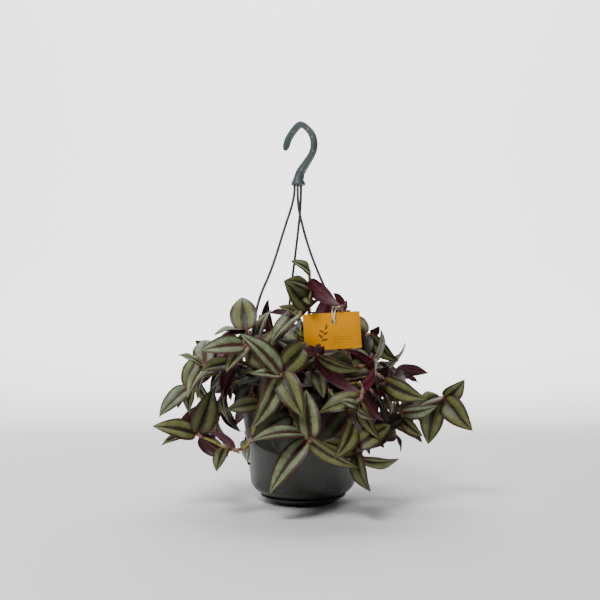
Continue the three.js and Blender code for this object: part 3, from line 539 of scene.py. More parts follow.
for vert in bm.verts:
    vert.co = on_the_card(vert.co.x, vert.co.z, -vert.co.y)
printed(PRINTED_STALK)
for form in PRINTED_LEAVES:
    printed(leaf_print(*form))
for z, long in PRINTED_LINES:
    start, end, top = LINE_START, LINE_START + long, z + LINE_THICK
    printed([(start, z), (end, z), (end, top), (start, top)])

kraft, at = surface("kraft_card")
fleck = at.stretched(1, 1, 3).clouds(700, 6, 0.75)
shade = at.clouds(60, 3).rise(0.3, 0.75)
coat(kraft, fleck, 0.00008, specular_ior_level=0.15, roughness=0.78 + fleck * 0.12,
     base_color=fleck.rise(0.3, 0.72).blend(shade.blend((236, 148, 0), (246, 160, 0)),
                                            shade.blend((250, 168, 0), (255, 179, 2))))
core, at = surface("card_edge")
coat(core, at.clouds(1800, 3), 0.0001, roughness=0.9, base_color=at.clouds(500).blend(
    (222, 168, 50), (240, 196, 96)))
ink, at = surface("brown_ink")
coat(ink, roughness=at.clouds(900) * 0.2 + 0.6, base_color=at.clouds(1500, 5, 0.8).rise(0.4, 0.62).blend(
    (122, 70, 6), (150, 92, 10)))
finished("kraft_tag", bm, "tag_card", "card", kraft, core, ink, sharp=30)


# ---- Tag loop ----
# A short loop of undyed cotton string, laid from three strands, tied through the card's hole and
# round one rod. Stray fibres roughen it.

LOOP_CENTRE, LOOP_HIGH, LOOP_DEEP, LOOP_TURN = (36.6, -15.6, 209.1), 10.6, 8.6, radians(72.5)
LOOP_HOLE = radians(218)  # where on the loop the card's hole draws its two turns together
STRANDS, TWISTS, STRAND_RADIUS, STRAND_OFF, STRAND_SIDES = 3, 14, 0.5, 0.46, 7

bm = bmesh.new()
level = np.array((cos(LOOP_TURN), sin(LOOP_TURN), 0))
side = np.array((-sin(LOOP_TURN), cos(LOOP_TURN), 0))
for way, strand in product((-1, 1), range(STRANDS)):
    rings = []
    for turn in (2 * pi * k / 120 for k in range(120)):
        twist = 2 * pi * strand / STRANDS + TWISTS * turn
        spread = way * (0.6 + 1.3 * sin(turn - LOOP_HOLE) ** 2)
        deep, high = (half + STRAND_OFF * cos(twist) for half in (LOOP_DEEP, LOOP_HIGH))
        middle = level * (cos(turn) * deep) + side * (STRAND_OFF * sin(twist) + spread) + LOOP_CENTRE
        out = level * cos(turn) + (0, 0, sin(turn))
        rings.append([middle + (0, 0, sin(turn) * high) + (out * cos(a) + side * sin(a)) * STRAND_RADIUS
                      for a in (2 * pi * j / STRAND_SIDES for j in range(STRAND_SIDES))])
    rings.append(rings[0])
    swept(bm, rings)
cotton, at = surface("cotton_string")
coat(cotton, at.clouds(3000, 4, 0.7), 0.00015, roughness=0.9, base_color=at.clouds(1600, 4).blend(
    (232, 218, 180), (250, 244, 226)))
finished("cotton_loop", bm, "tag_loop", "string", cotton, sharp=80)


# ---- Leafy stems ----
# Soft jointed stems, yellow-green and purple at the joints, stand in the soil and arch over the
# rim. Each joint has a papery sheath and one leaf: striped silver above and purple below, folded
# along its rib. They grow by the rule that the solids follow; millimetres until the mesh is made.

STEM_ROOT, STEM_TIP, STEM_BURY, STEM_UPRIGHT, STEM_SIDES = 2.1, 1.2, 104, 128, 8
BLADE_FOLD, BLADE_ROOT, BLADE_THICK, BLADE_GRID = radians(13), 1.5, 0.55, (8, 13)
JOINT_SWELL, JOINT_REACH, SWELL_MOST, JOINT_TINGE = 0.22, 2.2, 1.25, 4 * MM
SHEATH_LONG, SHEATH_HAIRS, BLUSHED = 6.5, 14, 0.17  # the last is the share of leaves that blush
SHEATH_PROFILE = [(-SHEATH_LONG, 1.04), (-4.5, 1.3), (-2, 1.36), (0.4, 1.5)]  # places and widths
LEAF_CLEAR, OWN_CLEAR, STEM_CLEAR, POT_CLEAR, POT_WIDEST = 2.7, 1.7, 1.1, 2, 71.4
LEAF_SPAN, OWN_STRETCH, OWN_SAMPLES = 0.62, 13, 15  # a leaf is not tested beside its own joint
HIDDEN_WIDE, HIDDEN_HIGH = 22, 10  # the corner of the card that leaves may hide
SHADE_NEAR, SHADE_FAR, SHADE_BESIDE, SHADE_FULL = 5, 60, 24, 4  # four leaves above one shade it fully

# The shoots that the front shows: the stem's line from the soil to its tip, then for each leaf its
# distance back from the tip, turn as seen from the front, lean to the front, roll, length, width
FRONT_SHOOTS = {
    "front_centre": ([[-12, -36], [-18, -52, 142], [-22, -85, 157], [-23, -115, 146]],
        [[0, 175, 25, 40, 30, 12], [3, 134, 12, 25, 55, 22], [6, 243, 8, -25, 60, 20],
         [9, -63, 22, 0, 50, 23], [12, 54, -18, 5, 48, 25]]),
    "front_low": ([[-4, -46], [-9, -64, 133], [-16, -88, 132], [-14, -99, 108], [-5, -106, 93],
        [8, -113, 80]],
        [[0, 95, -15, 0, 50, 21], [3, 233, 5, 30, 62, 21], [6, -30, 8, 35, 56, 18], [9, 173, 8, 60, 56, 20],
         [34, 209, 0, 20, 42, 23]]),
    "front_right_low": ([[24, -40], [32, -54, 133], [42, -84, 132], [50, -98, 98], [55, -102, 63]],
        [[0, 0, 30, 50, 42, 20], [3, -75, 40, 45, 41, 20], [6, 172, 35, 10, 36, 18],
         [9, 30, -25, -20, 45, 20]]),
    "right_sprig": ([[30, -4], [42, -6, 136], [82, -10, 141], [126, -13, 117], [162, -15, 117]],
        [[0, 51, 40, 10, 32, 18], [3, -52, 30, 0, 47, 24], [6, 194, 35, 50, 36, 18],
         [13, 262, 8, 10, 50, 24], [30, 222, 20, 25, 38, 18]]),
    "right": ([[28, -22], [36, -29, 138], [60, -50, 157], [78, -66, 147], [87, -76, 137]],
        [[0, 188, 50, 30, 16, 9], [3, -25, 22, 25, 46, 21], [8, -45, 10, 65, 34, 16],
         [12, -29, -10, 100, 38, 18], [18, 136, 0, 130, 36, 16], [24, 215, 10, 20, 38, 18]]),
    "right_high": ([[22, -6], [34, -3, 150], [60, -4, 182], [80, -9, 190]],
        [[0, 48, 50, 20, 15, 9], [3, -46, 18, 45, 43, 20], [5, 252, 6, 20, 42, 20],
         [8, 127, -35, 10, 37, 18], [12, -40, 0, 78, 36, 17], [22, -15, 5, 112, 44, 22]]),
    "top": ([[2, -8], [4, -10, 170], [8, -12, 228], [7, -27, 259]],
        [[44, 132, 12, 10, 42, 21], [0, 150, 30, 40, 25, 13], [4, 133, 10, 45, 20, 9],
         [8, -43, 8, 145, 44, 20], [20, 163, 30, 45, 34, 16], [22, -53, 20, 55, 38, 17],
         [26, -94, 35, 40, 26, 15]]),
    "top_right": ([[17, 8], [25, 8, 165], [40, 2, 212], [46, -3, 222]],
        [[0, 125, 20, 140, 18, 9], [4, -63, 35, 50, 30, 14], [8, 55, -20, 150, 16, 9],
         [14, 20, 0, 60, 34, 16]]),
    "upper_left": ([[-16, -14], [-34, -24, 160], [-63, -42, 188], [-61, -62, 191]],
        [[0, 262, 40, 50, 30, 18], [3, 100, -42, 0, 46, 26], [5, 200, 25, 65, 32, 18],
         [8, 185, 20, 72, 36, 20], [11, 273, 60, 30, 24, 16], [14, -62, 45, 40, 27, 16],
         [22, 20, 15, 115, 38, 20]]),
    "left_inner": ([[-20, -27], [-30, -40, 145], [-50, -68, 175], [-62, -88, 176]],
        [[0, 185, 25, 28, 44, 20], [4, 232, 35, 32, 34, 18], [8, 212, 25, 30, 30, 18],
         [12, -56, 40, 10, 35, 20], [16, 150, -10, 150, 30, 18]]),
    "left_middle": ([[-34, -26], [-52, -38, 142], [-70, -58, 157], [-78, -73, 154]],
        [[0, 200, 20, 55, 34, 16], [4, 183, 25, 35, 36, 18], [8, 250, 10, 150, 34, 14],
         [13, -40, 20, 60, 36, 18]]),
    "left_high": ([[-30, -12], [-42, -18, 145], [-78, -36, 163], [-110, -52, 153]],
        [[0, 152, 15, 65, 28, 12], [3, 98, -48, 0, 41, 22], [6, 242, 40, 45, 46, 18],
         [10, 250, 20, 60, 40, 16], [14, 40, -20, 160, 34, 18]]),
    "left": ([[-38, -8], [-52, -14, 138], [-95, -26, 149], [-130, -36, 126]],
        [[0, 248, 20, 30, 21, 10], [3, 80, -35, 0, 41, 19], [6, 219, 5, 22, 44, 19], [9, 262, 5, 35, 29, 15],
         [16, -50, 10, 50, 40, 18]]),
    "left_low": ([[-30, -44], [-34, -62, 134], [-42, -84, 130], [-48, -98, 98], [-55, -101, 75],
        [-71, -96, 68], [-92, -80, 76], [-118, -53, 82]],
        [[0, 196, 30, 55, 36, 13], [3, 160, 15, 25, 46, 20], [6, 68, -20, 8, 49, 24],
         [10, -34, 10, 150, 36, 18], [14, -5, -8, 50, 38, 18], [52, 250, 40, 30, 27, 15],
         [64, 146, -5, 140, 32, 15]]),
    "young": ([[6, -32], [9, -48, 145], [13, -75, 167], [15, -95, 168]],
        [[0, 98, 50, 10, 14, 8], [3, 159, 20, 20, 18, 9], [5, 51, 40, 30, 17, 9], [9, -20, 10, 55, 48, 20],
         [13, -37, -8, 118, 62, 20], [17, -63, 10, 68, 36, 18], [22, 215, 5, 50, 40, 18]]),
    "front_right": ([[36, -38], [46, -55, 134], [62, -84, 138], [60, -97, 124], [53, -104, 111]],
        [[0, -32, 30, 30, 20, 9], [3, 160, 30, 30, 23, 11], [10, -70, 5, 45, 44, 20],
         [14, 200, -8, 40, 44, 20], [20, -55, 0, 145, 34, 13]]),
    "top_front": ([[-4, -22], [-5, -34, 165], [-5, -50, 203], [-3, -61, 212]],
        [[0, 225, 15, 45, 44, 20], [4, 203, 35, 45, 31, 15], [8, 151, 35, 40, 28, 14],
         [14, -80, 30, 30, 34, 17], [20, 105, -10, 20, 34, 18]]),
    "right_low": ([[37, -17], [51, -23, 136], [80, -36, 141], [101, -44, 120], [108, -48, 94]],
        [[0, -40, 25, 20, 26, 13], [4, 215, 15, 30, 36, 16], [9, 10, 15, 30, 38, 17]]),
}

# Stems that follow a rule: name, how many, first angle, step, root radius, bare length, and the
# reach and height of the stem's rise, shoulder and tip
SOWN_STEMS = [
    ["crown", 4, 28, 42, 8, 50, [[14, 150], [30, 184], [52, 206]]],
    ["side", 7, 20, 23, 34, 42, [[44, 142], [90, 158], [130, 138]]],
    ["trailing", 6, 18, 34, 52, 38, [[66, 136], [90, 134], [104, 100], [112, 62]]],
    ["inner", 2, 288, 36, 20, 30, [[32, 148], [54, 172], [74, 178]]],
    ["skirt", 5, 206, 28, 53, 24, [[64, 135], [86, 137], [97, 118]]],
]
RULE_NODES = [0, 6, 13, 22, 34, 48, 64, 82, 102, 124, 148, 174]  # leaf places back from the tip
RULE_LENGTHS = [20, 30, 40, 48, 53, 54, 52, 48, 44, 40, 36, 32]
RULE_OPENING = [28, 48, 60, 66, 70, 74]  # between the stem ahead and the leaf
LOWEST_LEAF, SOWN_SEED, RULE_AFTER = 30, 20, 8  # the last is the gap behind the listed leaves
SHIFTS = [(0, 0, 0)] + [(way * a, way * b, way * r) for a, b, r in (
    (0, 8, 0), (5, 0, 0), (0, 0, 15), (4, 14, 8), (-4, 14, 8), (8, 20, 0), (10, 0, 20), (0, 28, 10))
    for way in (1, -1)]
FRONT_SIZES, FRONT_WIDER, FRONT_ARCH = [1.08, 0.96, 0.84], 1.1, 34
RULE_SIZES, RULE_ROLLS = (1, 0.8, 0.62), (0, 25, -25, 50, -50, 80, -80, 115, -115)
RULE_TURNS, RULE_WIND, RULE_ARCH, RULE_WIDTH, RULE_DROOP = (0, -16, 14), 204, 42, 0.48, 0.12


def even_draws(seed):
    """Numbers between -1 and 1, the same for a seed each time."""
    state = (seed * 7919 + 17) % 4294967296
    while True:
        state = (state * 1664525 + 1013904223) % 4294967296
        yield state / 2147483648 - 1


def lengths_along(line):
    """How far along a line each of its points is."""
    return np.concatenate([[0], np.cumsum(np.linalg.norm(np.diff(line, axis=0), axis=1))])


def leaf_outline(s):
    """The half-width at share s of the length, as a share of the widest half-width."""
    inside = np.clip(s, 0, 1)
    return inside ** 0.5 * (1 - inside) ** 0.85 / 0.4105


class Leaf:
    """A blade bent along its rib as an arc, and folded along the rib; face looks up from it."""

    def __init__(self, base, along, facing, long, wide, arch):
        self.base, self.long, self.half, self.arch = base, long, wide / 2, radians(arch)
        self.chord = unit(along)
        self.face = unit(facing - self.chord * facing.dot(self.chord))
        self.side = np.cross(self.chord, self.face)
        self.radius = long / self.arch
        self.middle = self.at(0.5, 0)
        rows, columns = np.meshgrid(np.arange(1, 11) / 10, np.arange(-2, 3) / 2, indexing="ij")
        self.samples = self.at(rows.ravel(), columns.ravel())

    def at(self, s, v, lift=0.0):
        """Points at shares s along the rib and v of the half-width, lift above the middle face."""
        turn = self.arch * (0.5 - np.asarray(s, float))
        forward = self.radius * (sin(self.arch / 2) - np.sin(turn))
        rise = self.radius * (np.cos(turn) - cos(self.arch / 2))
        across = self.half * leaf_outline(s) * v
        height = np.abs(across) * sin(BLADE_FOLD) + lift
        return (self.base + np.multiply.outer(forward - height * np.sin(turn), self.chord)
                + np.multiply.outer(rise + height * np.cos(turn), self.face)
                + np.multiply.outer(across * cos(BLADE_FOLD), self.side))

    def near(self, points, clear):
        """Whether any of the points lies over or under the blade, closer to it than clear."""
        off = points - self.base
        x = off @ self.chord - self.radius * sin(self.arch / 2)
        y = off @ self.face + self.radius * cos(self.arch / 2)
        s = 0.5 - np.arctan2(-x, y) / self.arch
        across = np.abs(off @ self.side)
        height = np.hypot(x, y) - self.radius
        return bool(np.any((s >= 0) & (s <= 1 + clear / self.long)
                           & (across <= self.half * leaf_outline(np.minimum(s, 0.97)) + clear)
                           & (np.abs(height - across * tan(BLADE_FOLD)) < clear)))


class Stem:
    """A stem's line from its root in the soil, and the leaves that grow on it."""

    def __init__(self, name, path, wanted, draw, bare):
        (x, y), *rest = path
        points = [(x, y, STEM_BURY), (x, y, STEM_UPRIGHT)] + rest
        self.name, self.wanted, self.draw, self.bare, self.leaves = name, wanted, draw, bare, []
        self.line = np.array(rounded(points, 2))
        self.smooth = np.array(rounded(points, 8))
        self.reached = lengths_along(self.line)
        self.total = self.reached[-1]

    def place(self, distance):
        wanted = min(max(distance, 0), self.total)
        i = 1
        while i < len(self.line) - 1 and self.reached[i] < wanted:
            i += 1
        step = self.line[i] - self.line[i - 1]
        share = (wanted - self.reached[i - 1]) / (self.reached[i] - self.reached[i - 1])
        return self.line[i - 1] + step * share, unit(step)


def sown_stems():
    seed = SOWN_SEED
    for name, count, first, step, root_radius, bare, profile in SOWN_STEMS:
        for i in range(count):
            draw = even_draws(seed)
            seed += 1
            angle = radians(first + step * i + 4 * next(draw))
            reach, lift, sway = 1 + 0.1 * next(draw), 9 * next(draw), 8 * next(draw)
            root = root_radius * (1 + 0.15 * next(draw))
            path = [(root * cos(angle), root * sin(angle))]
            for k, (radius, height) in enumerate(profile):
                share, r = k / (len(profile) - 1), radius * (reach if k else 1)
                path.append((r * cos(angle) - sway * share * sin(angle),
                             r * sin(angle) + sway * share * cos(angle),
                             height + (lift if k else 0)))
            yield Stem(f"{name}_{i + 1}", path, [], draw, bare)


def places_along(line, shares):
    """Places on a line at these shares of its length."""
    reached = lengths_along(line)
    wanted = np.multiply(shares, reached[-1])
    return np.stack([np.interp(wanted, reached, line[:, k]) for k in range(3)], axis=1)


stems = [Stem(name, path, leaves, even_draws(i), LOWEST_LEAF)
         for i, (name, (path, leaves)) in enumerate(FRONT_SHOOTS.items())] + list(sown_stems())
card_turn = np.array(Matrix.Rotation(CARD_TURN, 3, "Y"))
card_places = [card_turn @ (x - CARD_HOLE[0], 0, z - CARD_HOLE[1]) + HOLE_AT
               for x in range(0, CARD_WIDTH + 1, 4) for z in range(0, CARD_HEIGHT + 1, 4)]

# What no leaf may touch: places, the radius round each, and which stem it belongs to, if any
obstacles = [(place, ROD_RADIUS, -1) for angle, points in RODS.values()
             for place in places_along(np.array(rod_line(angle, points, 60)), np.linspace(0, 1, 101))]
obstacles += [(place, 2, -1) for place in card_places] + [(LOOP_CENTRE, LOOP_HIGH, -1)]
obstacles += [(stem.place(distance)[0], STEM_ROOT, number) for number, stem in enumerate(stems)
              for distance in np.arange(0, stem.total, 4)]
obstacle_points, obstacle_radii, obstacle_owners = (np.array(column) for column in zip(*obstacles))
grown = []


def touches_pot(points):
    reach, z = np.hypot(points[:, 0], points[:, 1]), points[:, 2]
    held = np.where(z > SKIRT_BOTTOM - POT_CLEAR, SOLID_RIM, POT_WIDEST) + POT_CLEAR
    return bool(np.any((z < POT_CLEAR) | ((z <= RIM_TOP + POT_CLEAR) & (reach < held))))


def hides_card(points):
    """The card was hung over the leaves: they hide no more of it than its lower left corner."""
    x = points[:, 0] - HOLE_AT[0] + CARD_HOLE[0]
    z = points[:, 2] - HOLE_AT[2] + CARD_HOLE[1]
    return bool(np.any((points[:, 1] <= HOLE_AT[1]) & (x >= -1) & (x <= CARD_WIDTH + 2)
                       & (z > np.where(x < HIDDEN_WIDE, HIDDEN_HIGH, 1)) & (z < CARD_HEIGHT + 3)))


def blocked(leaf, stem):
    if touches_pot(leaf.samples) or hides_card(leaf.samples):
        return True
    reach = leaf.long * LEAF_SPAN
    close = np.linalg.norm(obstacle_points - leaf.middle, axis=1) <= reach + obstacle_radii
    own = obstacle_owners == stems.index(stem)
    some = close & ~(own & (np.linalg.norm(obstacle_points - leaf.base, axis=1) < OWN_STRETCH))
    if some.any() and leaf.near(obstacle_points[some], obstacle_radii[some] + STEM_CLEAR):
        return True
    for other, owner in grown:
        if np.linalg.norm(other.middle - leaf.middle) > reach + other.long * LEAF_SPAN:
            continue
        first, clear = (OWN_SAMPLES, OWN_CLEAR) if owner is stem else (0, LEAF_CLEAR)
        if other.near(leaf.samples[first:], clear) or leaf.near(other.samples[first:], clear):
            return True
    return False


def grow_first_clear(stem, distance, tries):
    for leaf in tries:
        if not blocked(leaf, stem):
            grown.append((leaf, stem))
            stem.leaves.append((distance, leaf))
            return


def front_tries(point, turn, lean, roll, long, wide):
    """The leaf as the front shows it, then shifted or made smaller, a little more each time."""
    for size, shift in product(FRONT_SIZES, SHIFTS):
        a, b, r = (radians(wanted + more) for wanted, more in zip((turn, lean, roll), shift))
        chord = np.array((cos(a) * cos(b), -sin(b), sin(a) * cos(b)))
        front = unit(np.array((0, -1, 0)) + chord * chord[1])
        face = front * cos(r) + np.cross(chord, front) * sin(r)
        yield Leaf(point, chord, face, long * size, wide * size * FRONT_WIDER, FRONT_ARCH)


def rule_tries(point, ahead, order, draw):
    """The leaf that the rule gives a joint, then shifted or made smaller, a little more each time."""
    out = unit(point * (1, 1, 0))
    across = unit(np.cross(ahead, (0, 0, 1)))
    above = np.cross(across, ahead)
    opening = RULE_OPENING[min(order, len(RULE_OPENING) - 1)] + 6 * next(draw)
    wind = RULE_WIND * order + 15 * next(draw)
    long = RULE_LENGTHS[order] * (1 + 0.1 * next(draw))
    arch = RULE_ARCH + 14 * next(draw)
    face = ahead + out + (0, 0, 1)
    for size, roll, more in product(RULE_SIZES, RULE_ROLLS, RULE_TURNS):
        a, w = radians(opening + more), radians(wind + roll)
        chord = ahead * cos(a) + (across * cos(w) + above * sin(w)) * sin(a)
        chord[2] -= RULE_DROOP * min(order, 3)
        yield Leaf(point, chord, face, long * size, long * size * RULE_WIDTH, arch)


for stem in stems:
    for back, *form in stem.wanted:
        distance = stem.total - BLADE_ROOT - back
        grow_first_clear(stem, distance, front_tries(stem.place(distance)[0], *form))
for stem in stems:
    taken = max([back + RULE_AFTER for back, *form in stem.wanted], default=-1)
    for order, back in enumerate(RULE_NODES):
        if back > taken and stem.total - back > stem.bare:
            distance = stem.total - BLADE_ROOT - back
            point, ahead = stem.place(distance)
            grow_first_clear(stem, distance, rule_tries(point, ahead, order, stem.draw))


def along_stem(stem, distances):
    """Places on the stem's smooth line, at distances measured on its jointed line."""
    return places_along(stem.smooth, np.clip(np.divide(distances, stem.total), 0, 1))


def stem_radius(stem, distance):
    return STEM_ROOT + (STEM_TIP - STEM_ROOT) * distance / stem.total


def mark_tone(bm, faces, value):
    tone = bm.verts.layers.float["tone"]
    for vert in {vert for face in faces for vert in face.verts}:
        vert[tone] = value(Vector(vert.co)) if callable(value) else value


def grow_stalk(bm, stem, joints):
    """The stem itself: swollen at each joint, and tapering to its tip."""
    evenly = set(np.round(np.arange(0, stem.total, 4), 2))
    distances = sorted(evenly | {round(j, 2) for j in joints} | {stem.total})
    swell = [1 + JOINT_SWELL * sum(exp(-((d - j) / JOINT_REACH) ** 2) for j in joints) for d in distances]
    radii = [stem_radius(stem, d) * min(s, SWELL_MOST) * (0.45 if d == stem.total else 1)
             for d, s in zip(distances, swell)]
    skin = swept(bm, round_rings(along_stem(stem, distances), radii, STEM_SIDES), finish=2)
    knots = [Vector(p) * MM for p in along_stem(stem, joints)] if joints else []
    mark_tone(bm, skin, lambda co: max(
        [exp(-((co - k).length / JOINT_TINGE) ** 2) for k in knots], default=0))


def grow_sheath(bm, stem, distance, draw):
    """The papery sleeve that the leaf's base makes round the stem, with fine pale hairs on its mouth."""
    spots, radii = zip(*((distance + along, stem_radius(stem, distance) * wide)
                         for along, wide in SHEATH_PROFILE))
    *rest, throat, mouth = rings = round_rings(along_stem(stem, spots), radii, STEM_SIDES)
    mark_tone(bm, swept(bm, rings, finish=3), 0.5)
    middle = np.mean(mouth, axis=0)
    ahead = unit(middle - np.mean(throat, axis=0))
    for k in range(SHEATH_HAIRS):
        share = draw.random()
        root = mouth[k % STEM_SIDES] * (1 - share) + mouth[(k + 1) % STEM_SIDES] * share
        way = ahead * draw.uniform(0.5, 1) + unit(root - middle) * draw.uniform(0.3, 1)
        thick, tip = unit(np.cross(way, root - middle)) * 0.07, root + way * draw.uniform(1.2, 2.4)
        hair = [bm.verts.new(Vector(p) * MM) for p in (root - ahead * 0.2, root + thick, root - thick, tip)]
        for side in ((0, 1, 3), (1, 2, 3), (2, 0, 3)):
            bm.faces.new([hair[i] for i in side]).material_index = 4


def shade_on(leaf):
    """How much the leaves outside and above a leaf shade it, from 0 to 1; it darkens the leaf's colour as
    painted shade.
    """
    outward = unit(leaf.middle * (1, 1, 0)) * 0.7 + (0, 0, 0.7)
    off = np.array([other.middle for other, owner in grown]) - leaf.middle
    ahead = off @ outward
    beside = np.linalg.norm(off - np.multiply.outer(ahead, outward), axis=1)
    shading = (ahead > SHADE_NEAR) & (ahead < SHADE_FAR) & (beside < SHADE_BESIDE)
    return min(np.count_nonzero(shading) / SHADE_FULL, 1)


def grow_blade(bm, leaf, shift, age, blush, draw):
    """One leaf: a sheet bent, folded, cupped and waved to its form, then given its thickness."""
    uv = bm.loops.layers.uv["UVMap"]
    sheet = bmesh.ops.create_grid(bm, x_segments=BLADE_GRID[0], y_segments=BLADE_GRID[1], size=0.5)["verts"]
    v = np.array([vert.co.x * 2 for vert in sheet])
    s = np.array([(vert.co.y + 0.5) ** 1.15 for vert in sheet])
    flutter, beat, pillow = draw.uniform(0.2, 0.9), draw.uniform(0, 6.28), draw.uniform(0.06, 0.17)
    wave = np.sin(s * draw.uniform(8, 15) + beat + v * 1.3) * np.abs(v) ** 1.6
    wave = wave * flutter * np.sin(pi * s) ** 0.5
    cup = pillow * leaf.half * leaf_outline(s) * (1 - (2 * np.abs(v) - 1) ** 2)
    droop = -draw.uniform(0.02, 0.07) * leaf.long * s ** 4
    taper = 1 - 0.26 * np.clip((s - 0.55) / 0.45, 0, 1) ** 1.4
    places = leaf.at(s, v * taper, 0.28) + np.multiply.outer(wave + cup + droop, leaf.face)
    faces = {face for vert in sheet for face in vert.link_faces}
    for face in faces:
        for loop in face.loops:
            loop[uv].uv = (loop.vert.co.x + 0.5, (loop.vert.co.y + 0.5) ** 1.15)
    for vert, place in zip(sheet, places):
        vert.co = Vector(place + shift) * MM
    # The leaf's tone: random, lower for leaves far back from the tip, and lowered most by painted shade
    # where other leaves lie outside and above.
    mark_tone(bm, faces, draw.uniform(-0.9, 0.9) - 0.6 * age - 1.3 * shade_on(leaf))
    flush = bm.verts.layers.float["flush"]
    for vert in sheet:
        vert[flush] = min(max((25 - leaf.long) / 6, blush), 1)
    bmesh.ops.remove_doubles(bm, verts=sheet, dist=2e-6)
    faces = [face for face in faces if face.is_valid]
    for part in bmesh.ops.solidify(bm, geom=faces, thickness=BLADE_THICK * MM)["geom"]:
        if isinstance(part, bmesh.types.BMFace):
            part.material_index = 1


def leaf_side(name):
    """A material for one side of the leaves, its sheet's UV, and the marks that both sides share."""
    material, place = surface(name)
    sheet = place.node("ShaderNodeUVMap", {}, output="UV", uv_map="UVMap")
    return material, sheet, place, place.attribute("tone"), abs(sheet.part("X") * 2 - 1)


# The upper face: a dark band along the rib, two broad silver bands and a thin red-brown margin
striped, at, place, tone, from_rib = leaf_side("striped_leaf")
share = at.part("Y")
drift = at.stretched(2.2, 6, 1).clouds(2.4, 3) - 0.5
speckle = place.clouds(900, 4, 0.65)
blotch = place.clouds(120, 3)
lines = (from_rib * 46 + drift * 3).wave() * 0.5 + 0.5
sheen = (speckle * 0.4 + blotch * 0.4 + lines * 0.14).rise(0.3, 0.75)
warm = sheen.blend((92, 96, 48), (142, 144, 84))
cool = sheen.blend((86, 102, 72), (158, 170, 136))
# The tone, which holds painted shade, also turns the silver from cool to warm and darkens the rib band.
silver = (tone + blotch * 0.8 - 0.4).rise(-0.8, 0.8).blend(warm, cool)
dark = (blotch + tone * 0.2).rise(0.3, 0.7).blend((34, 34, 19), (72, 44, 33))
olive = (blotch * 0.7 + lines * 0.3).rise(0.25, 0.7).blend((38, 38, 20), (62, 54, 32))
edge = blotch.rise(0.3, 0.7).blend((54, 16, 14), (92, 36, 28))
rib_band = (from_rib - (0.25 - share * 0.14 + drift * 0.22)).rise(0.12, -0.09)
outer_band = (from_rib - (0.79 - share * 0.05 + drift * 0.2)).rise(-0.12, 0.08)
leaf_colour = rib_band.blend(silver, dark)
leaf_colour = outer_band.blend(leaf_colour, olive)
leaf_colour = (from_rib - drift * 0.06).rise(0.86, 0.95).blend(leaf_colour, edge)
leaf_colour = (share + from_rib * 0.1 - drift * 0.1).rise(0.22, 0.03).blend(leaf_colour, (88, 32, 30))
# Painted shade: a low tone darkens the whole upper face toward dull dark olive. Leaves under others get most
# of it, leaves far back from the tip some, and the rest a random amount.
leaf_colour = (tone * -0.5 - 0.1).rise(-0.05, 0.9).blend(leaf_colour, (26, 27, 13))
flush = at.attribute("flush")
leaf_colour = (flush * (speckle * 0.4 + 0.6)).rise(0.05, 0.85).blend(leaf_colour, (62, 20, 26))
ridges = lines * 0.5 + speckle * 0.5 - from_rib.rise(0.05, 0.0) * 1.2
coat(striped, ridges, 0.00014, base_color=leaf_colour, specular_ior_level=0.36,
     roughness=rib_band * -0.05 + speckle * 0.14 + 0.38)

purple, at, place, tone, from_rib = leaf_side("purple_underside")
veins = (from_rib * 46).wave() * 0.5 + 0.5
mottle = place.clouds(260, 4, 0.6)
# The tone, painted shade included, darkens the underside a little.
under_colour = (mottle * 0.7 + veins * 0.2 + tone * 0.1).rise(0.25, 0.75).blend(
    (46, 9, 20), (104, 31, 52))
under_colour = from_rib.rise(0.1, 0.0).blend(under_colour, (108, 56, 56))
coat(purple, veins * 0.4 + mottle * 0.4, 0.0001, base_color=under_colour, specular_ior_level=0.4,
     roughness=mottle * 0.15 + 0.42)

stalk_skin, at = surface("stem_skin")
tone = at.attribute("tone")
streaks = at.stretched(1, 1, 0.3).clouds(420, 4, 0.65)
stalk_colour = (streaks + tone * 0.6).rise(0.5, 0.95).blend((126, 132, 44), (86, 34, 40))
coat(stalk_skin, streaks, 0.00008, base_color=stalk_colour, roughness=streaks * 0.15 + 0.38,
     specular_ior_level=0.45)
sleeve, at = surface("papery_sheath")
streaks = at.stretched(1, 1, 0.4).clouds(900, 4, 0.7)
coat(sleeve, streaks, 0.0001, roughness=streaks * 0.2 + 0.5,
     base_color=streaks.rise(0.35, 0.7).blend((142, 118, 84), (104, 46, 58)))

down, at = surface("sheath_hairs")
coat(down, base_color=at.clouds(300).blend((196, 186, 158), (226, 220, 202)), roughness=0.6)

leaf_draw = random.Random(11)
for stem in stems:
    bm = bmesh.new()
    bm.verts.layers.float.new("tone")
    bm.verts.layers.float.new("flush")
    bm.loops.layers.uv.new("UVMap")
    grow_stalk(bm, stem, [distance - SHEATH_LONG for distance, leaf in stem.leaves])
    for distance, leaf in stem.leaves:
        grow_sheath(bm, stem, distance, leaf_draw)
        shift = along_stem(stem, [distance])[0] - leaf.base
        age = min(max((stem.total - distance - 12) / 50, 0), 1)
        blush = 0.85 if leaf_draw.random() < BLUSHED and not stem.wanted else 0
        grow_blade(bm, leaf, shift, age, blush, leaf_draw)
    finished("leafy_" + stem.name, bm, "stem_" + stem.name, "leaf",
             striped, purple, stalk_skin, sleeve, down, sharp=70)


# ---- Stage ----
# A pale sweep of paper that glows far behind the pot, a narrow soft light from the left and behind
# that draws the bright edge on the pot, a weak one at the left, and a broad one in front and above.

PAPER_HALF = 4
PAPER_PROFILE = [(-2.5, 0), (0.9, 0), (1.25, 0.05), (1.55, 0.2), (1.75, 0.45), (1.85, 0.8), (1.85, 3.2)]

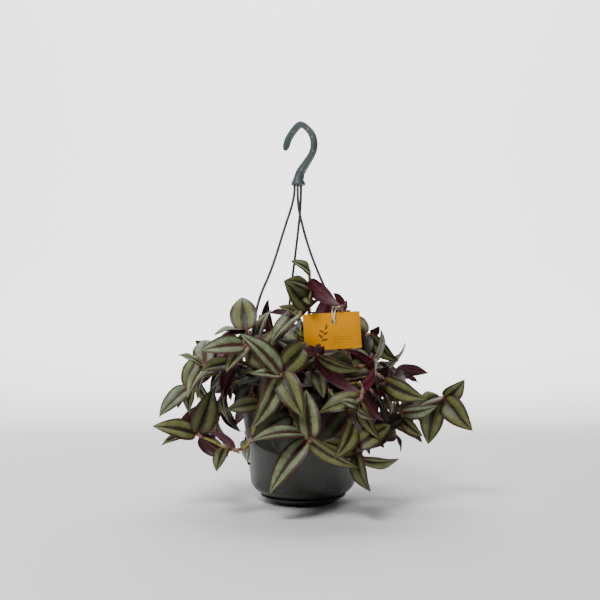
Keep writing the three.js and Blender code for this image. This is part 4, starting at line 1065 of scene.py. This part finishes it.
bm = bmesh.new()
spine = [bm.verts.new((-PAPER_HALF, y, z)) for y, z in PAPER_PROFILE]
edges = [bm.edges.new(pair) for pair in zip(spine, spine[1:])]
geom = bmesh.ops.extrude_edge_only(bm, edges=edges)["geom"]
far_side = [part for part in geom if isinstance(part, bmesh.types.BMVert)]
bmesh.ops.translate(bm, verts=far_side, vec=(2 * PAPER_HALF, 0, 0))
bmesh.ops.recalc_face_normals(bm, faces=bm.faces)
paper, at = surface("pale_paper")
coat(paper, base_color=at.clouds(3).blend((240, 240, 239), (246, 246, 245)),
     roughness=at.clouds(400) * 0.1 + 0.8, emission_strength=1.9,
     emission_color=(at.part("Y").rise(0.5, 1.6) * abs(at.part("X")).rise(1.7, 1.1)).blend(
         (0, 0, 0), (255, 255, 255)))
sweep = shaped("paper_sweep", bm, paper)
sweep.data.shade_smooth()

for name, place, aim, size, power in (
        ("rim_softbox", (-1.0, 0.62, 0.35), (0, 0, 0.1), (0.24, 0.9), 3),
        ("left_softbox", (-1.05, -0.6, 0.85), (0, 0, 0.16), (0.5, 0.7), 1),
        ("front_softbox", (-0.45, -1.0, 1.25), (0, 0, 0.17), (0.5, 0.4), 20),
        ("sweep_light", (0, 0.9, 2.4), (0, 1.4, 0.5), (2.5, 1.0), 42)):
    lamp = bpy.data.lights.new(name, "AREA")
    lamp.shape = "RECTANGLE"
    lamp.size, lamp.size_y = size
    lamp.energy = power
    light = in_scene(name, lamp)
    light.location = place
    light.rotation_euler = (Vector(aim) - Vector(place)).to_track_quat("-Z", "Y").to_euler()

world = bpy.data.worlds.new("white_room")
world.use_nodes = True
glow = world.node_tree.nodes["Background"].inputs
glow["Color"].default_value = (1, 1, 1, 1)
glow["Strength"].default_value = 0.06
bpy.context.scene.world = world

camera = in_scene("front_camera", bpy.data.cameras.new("front_camera"))
camera.data.lens = 47.04
camera.data.sensor_width = 36
camera.location = (-0.0035, -0.9, 0.185)
camera.rotation_euler = (radians(92.7), 0, 0)
bpy.context.scene.camera = camera
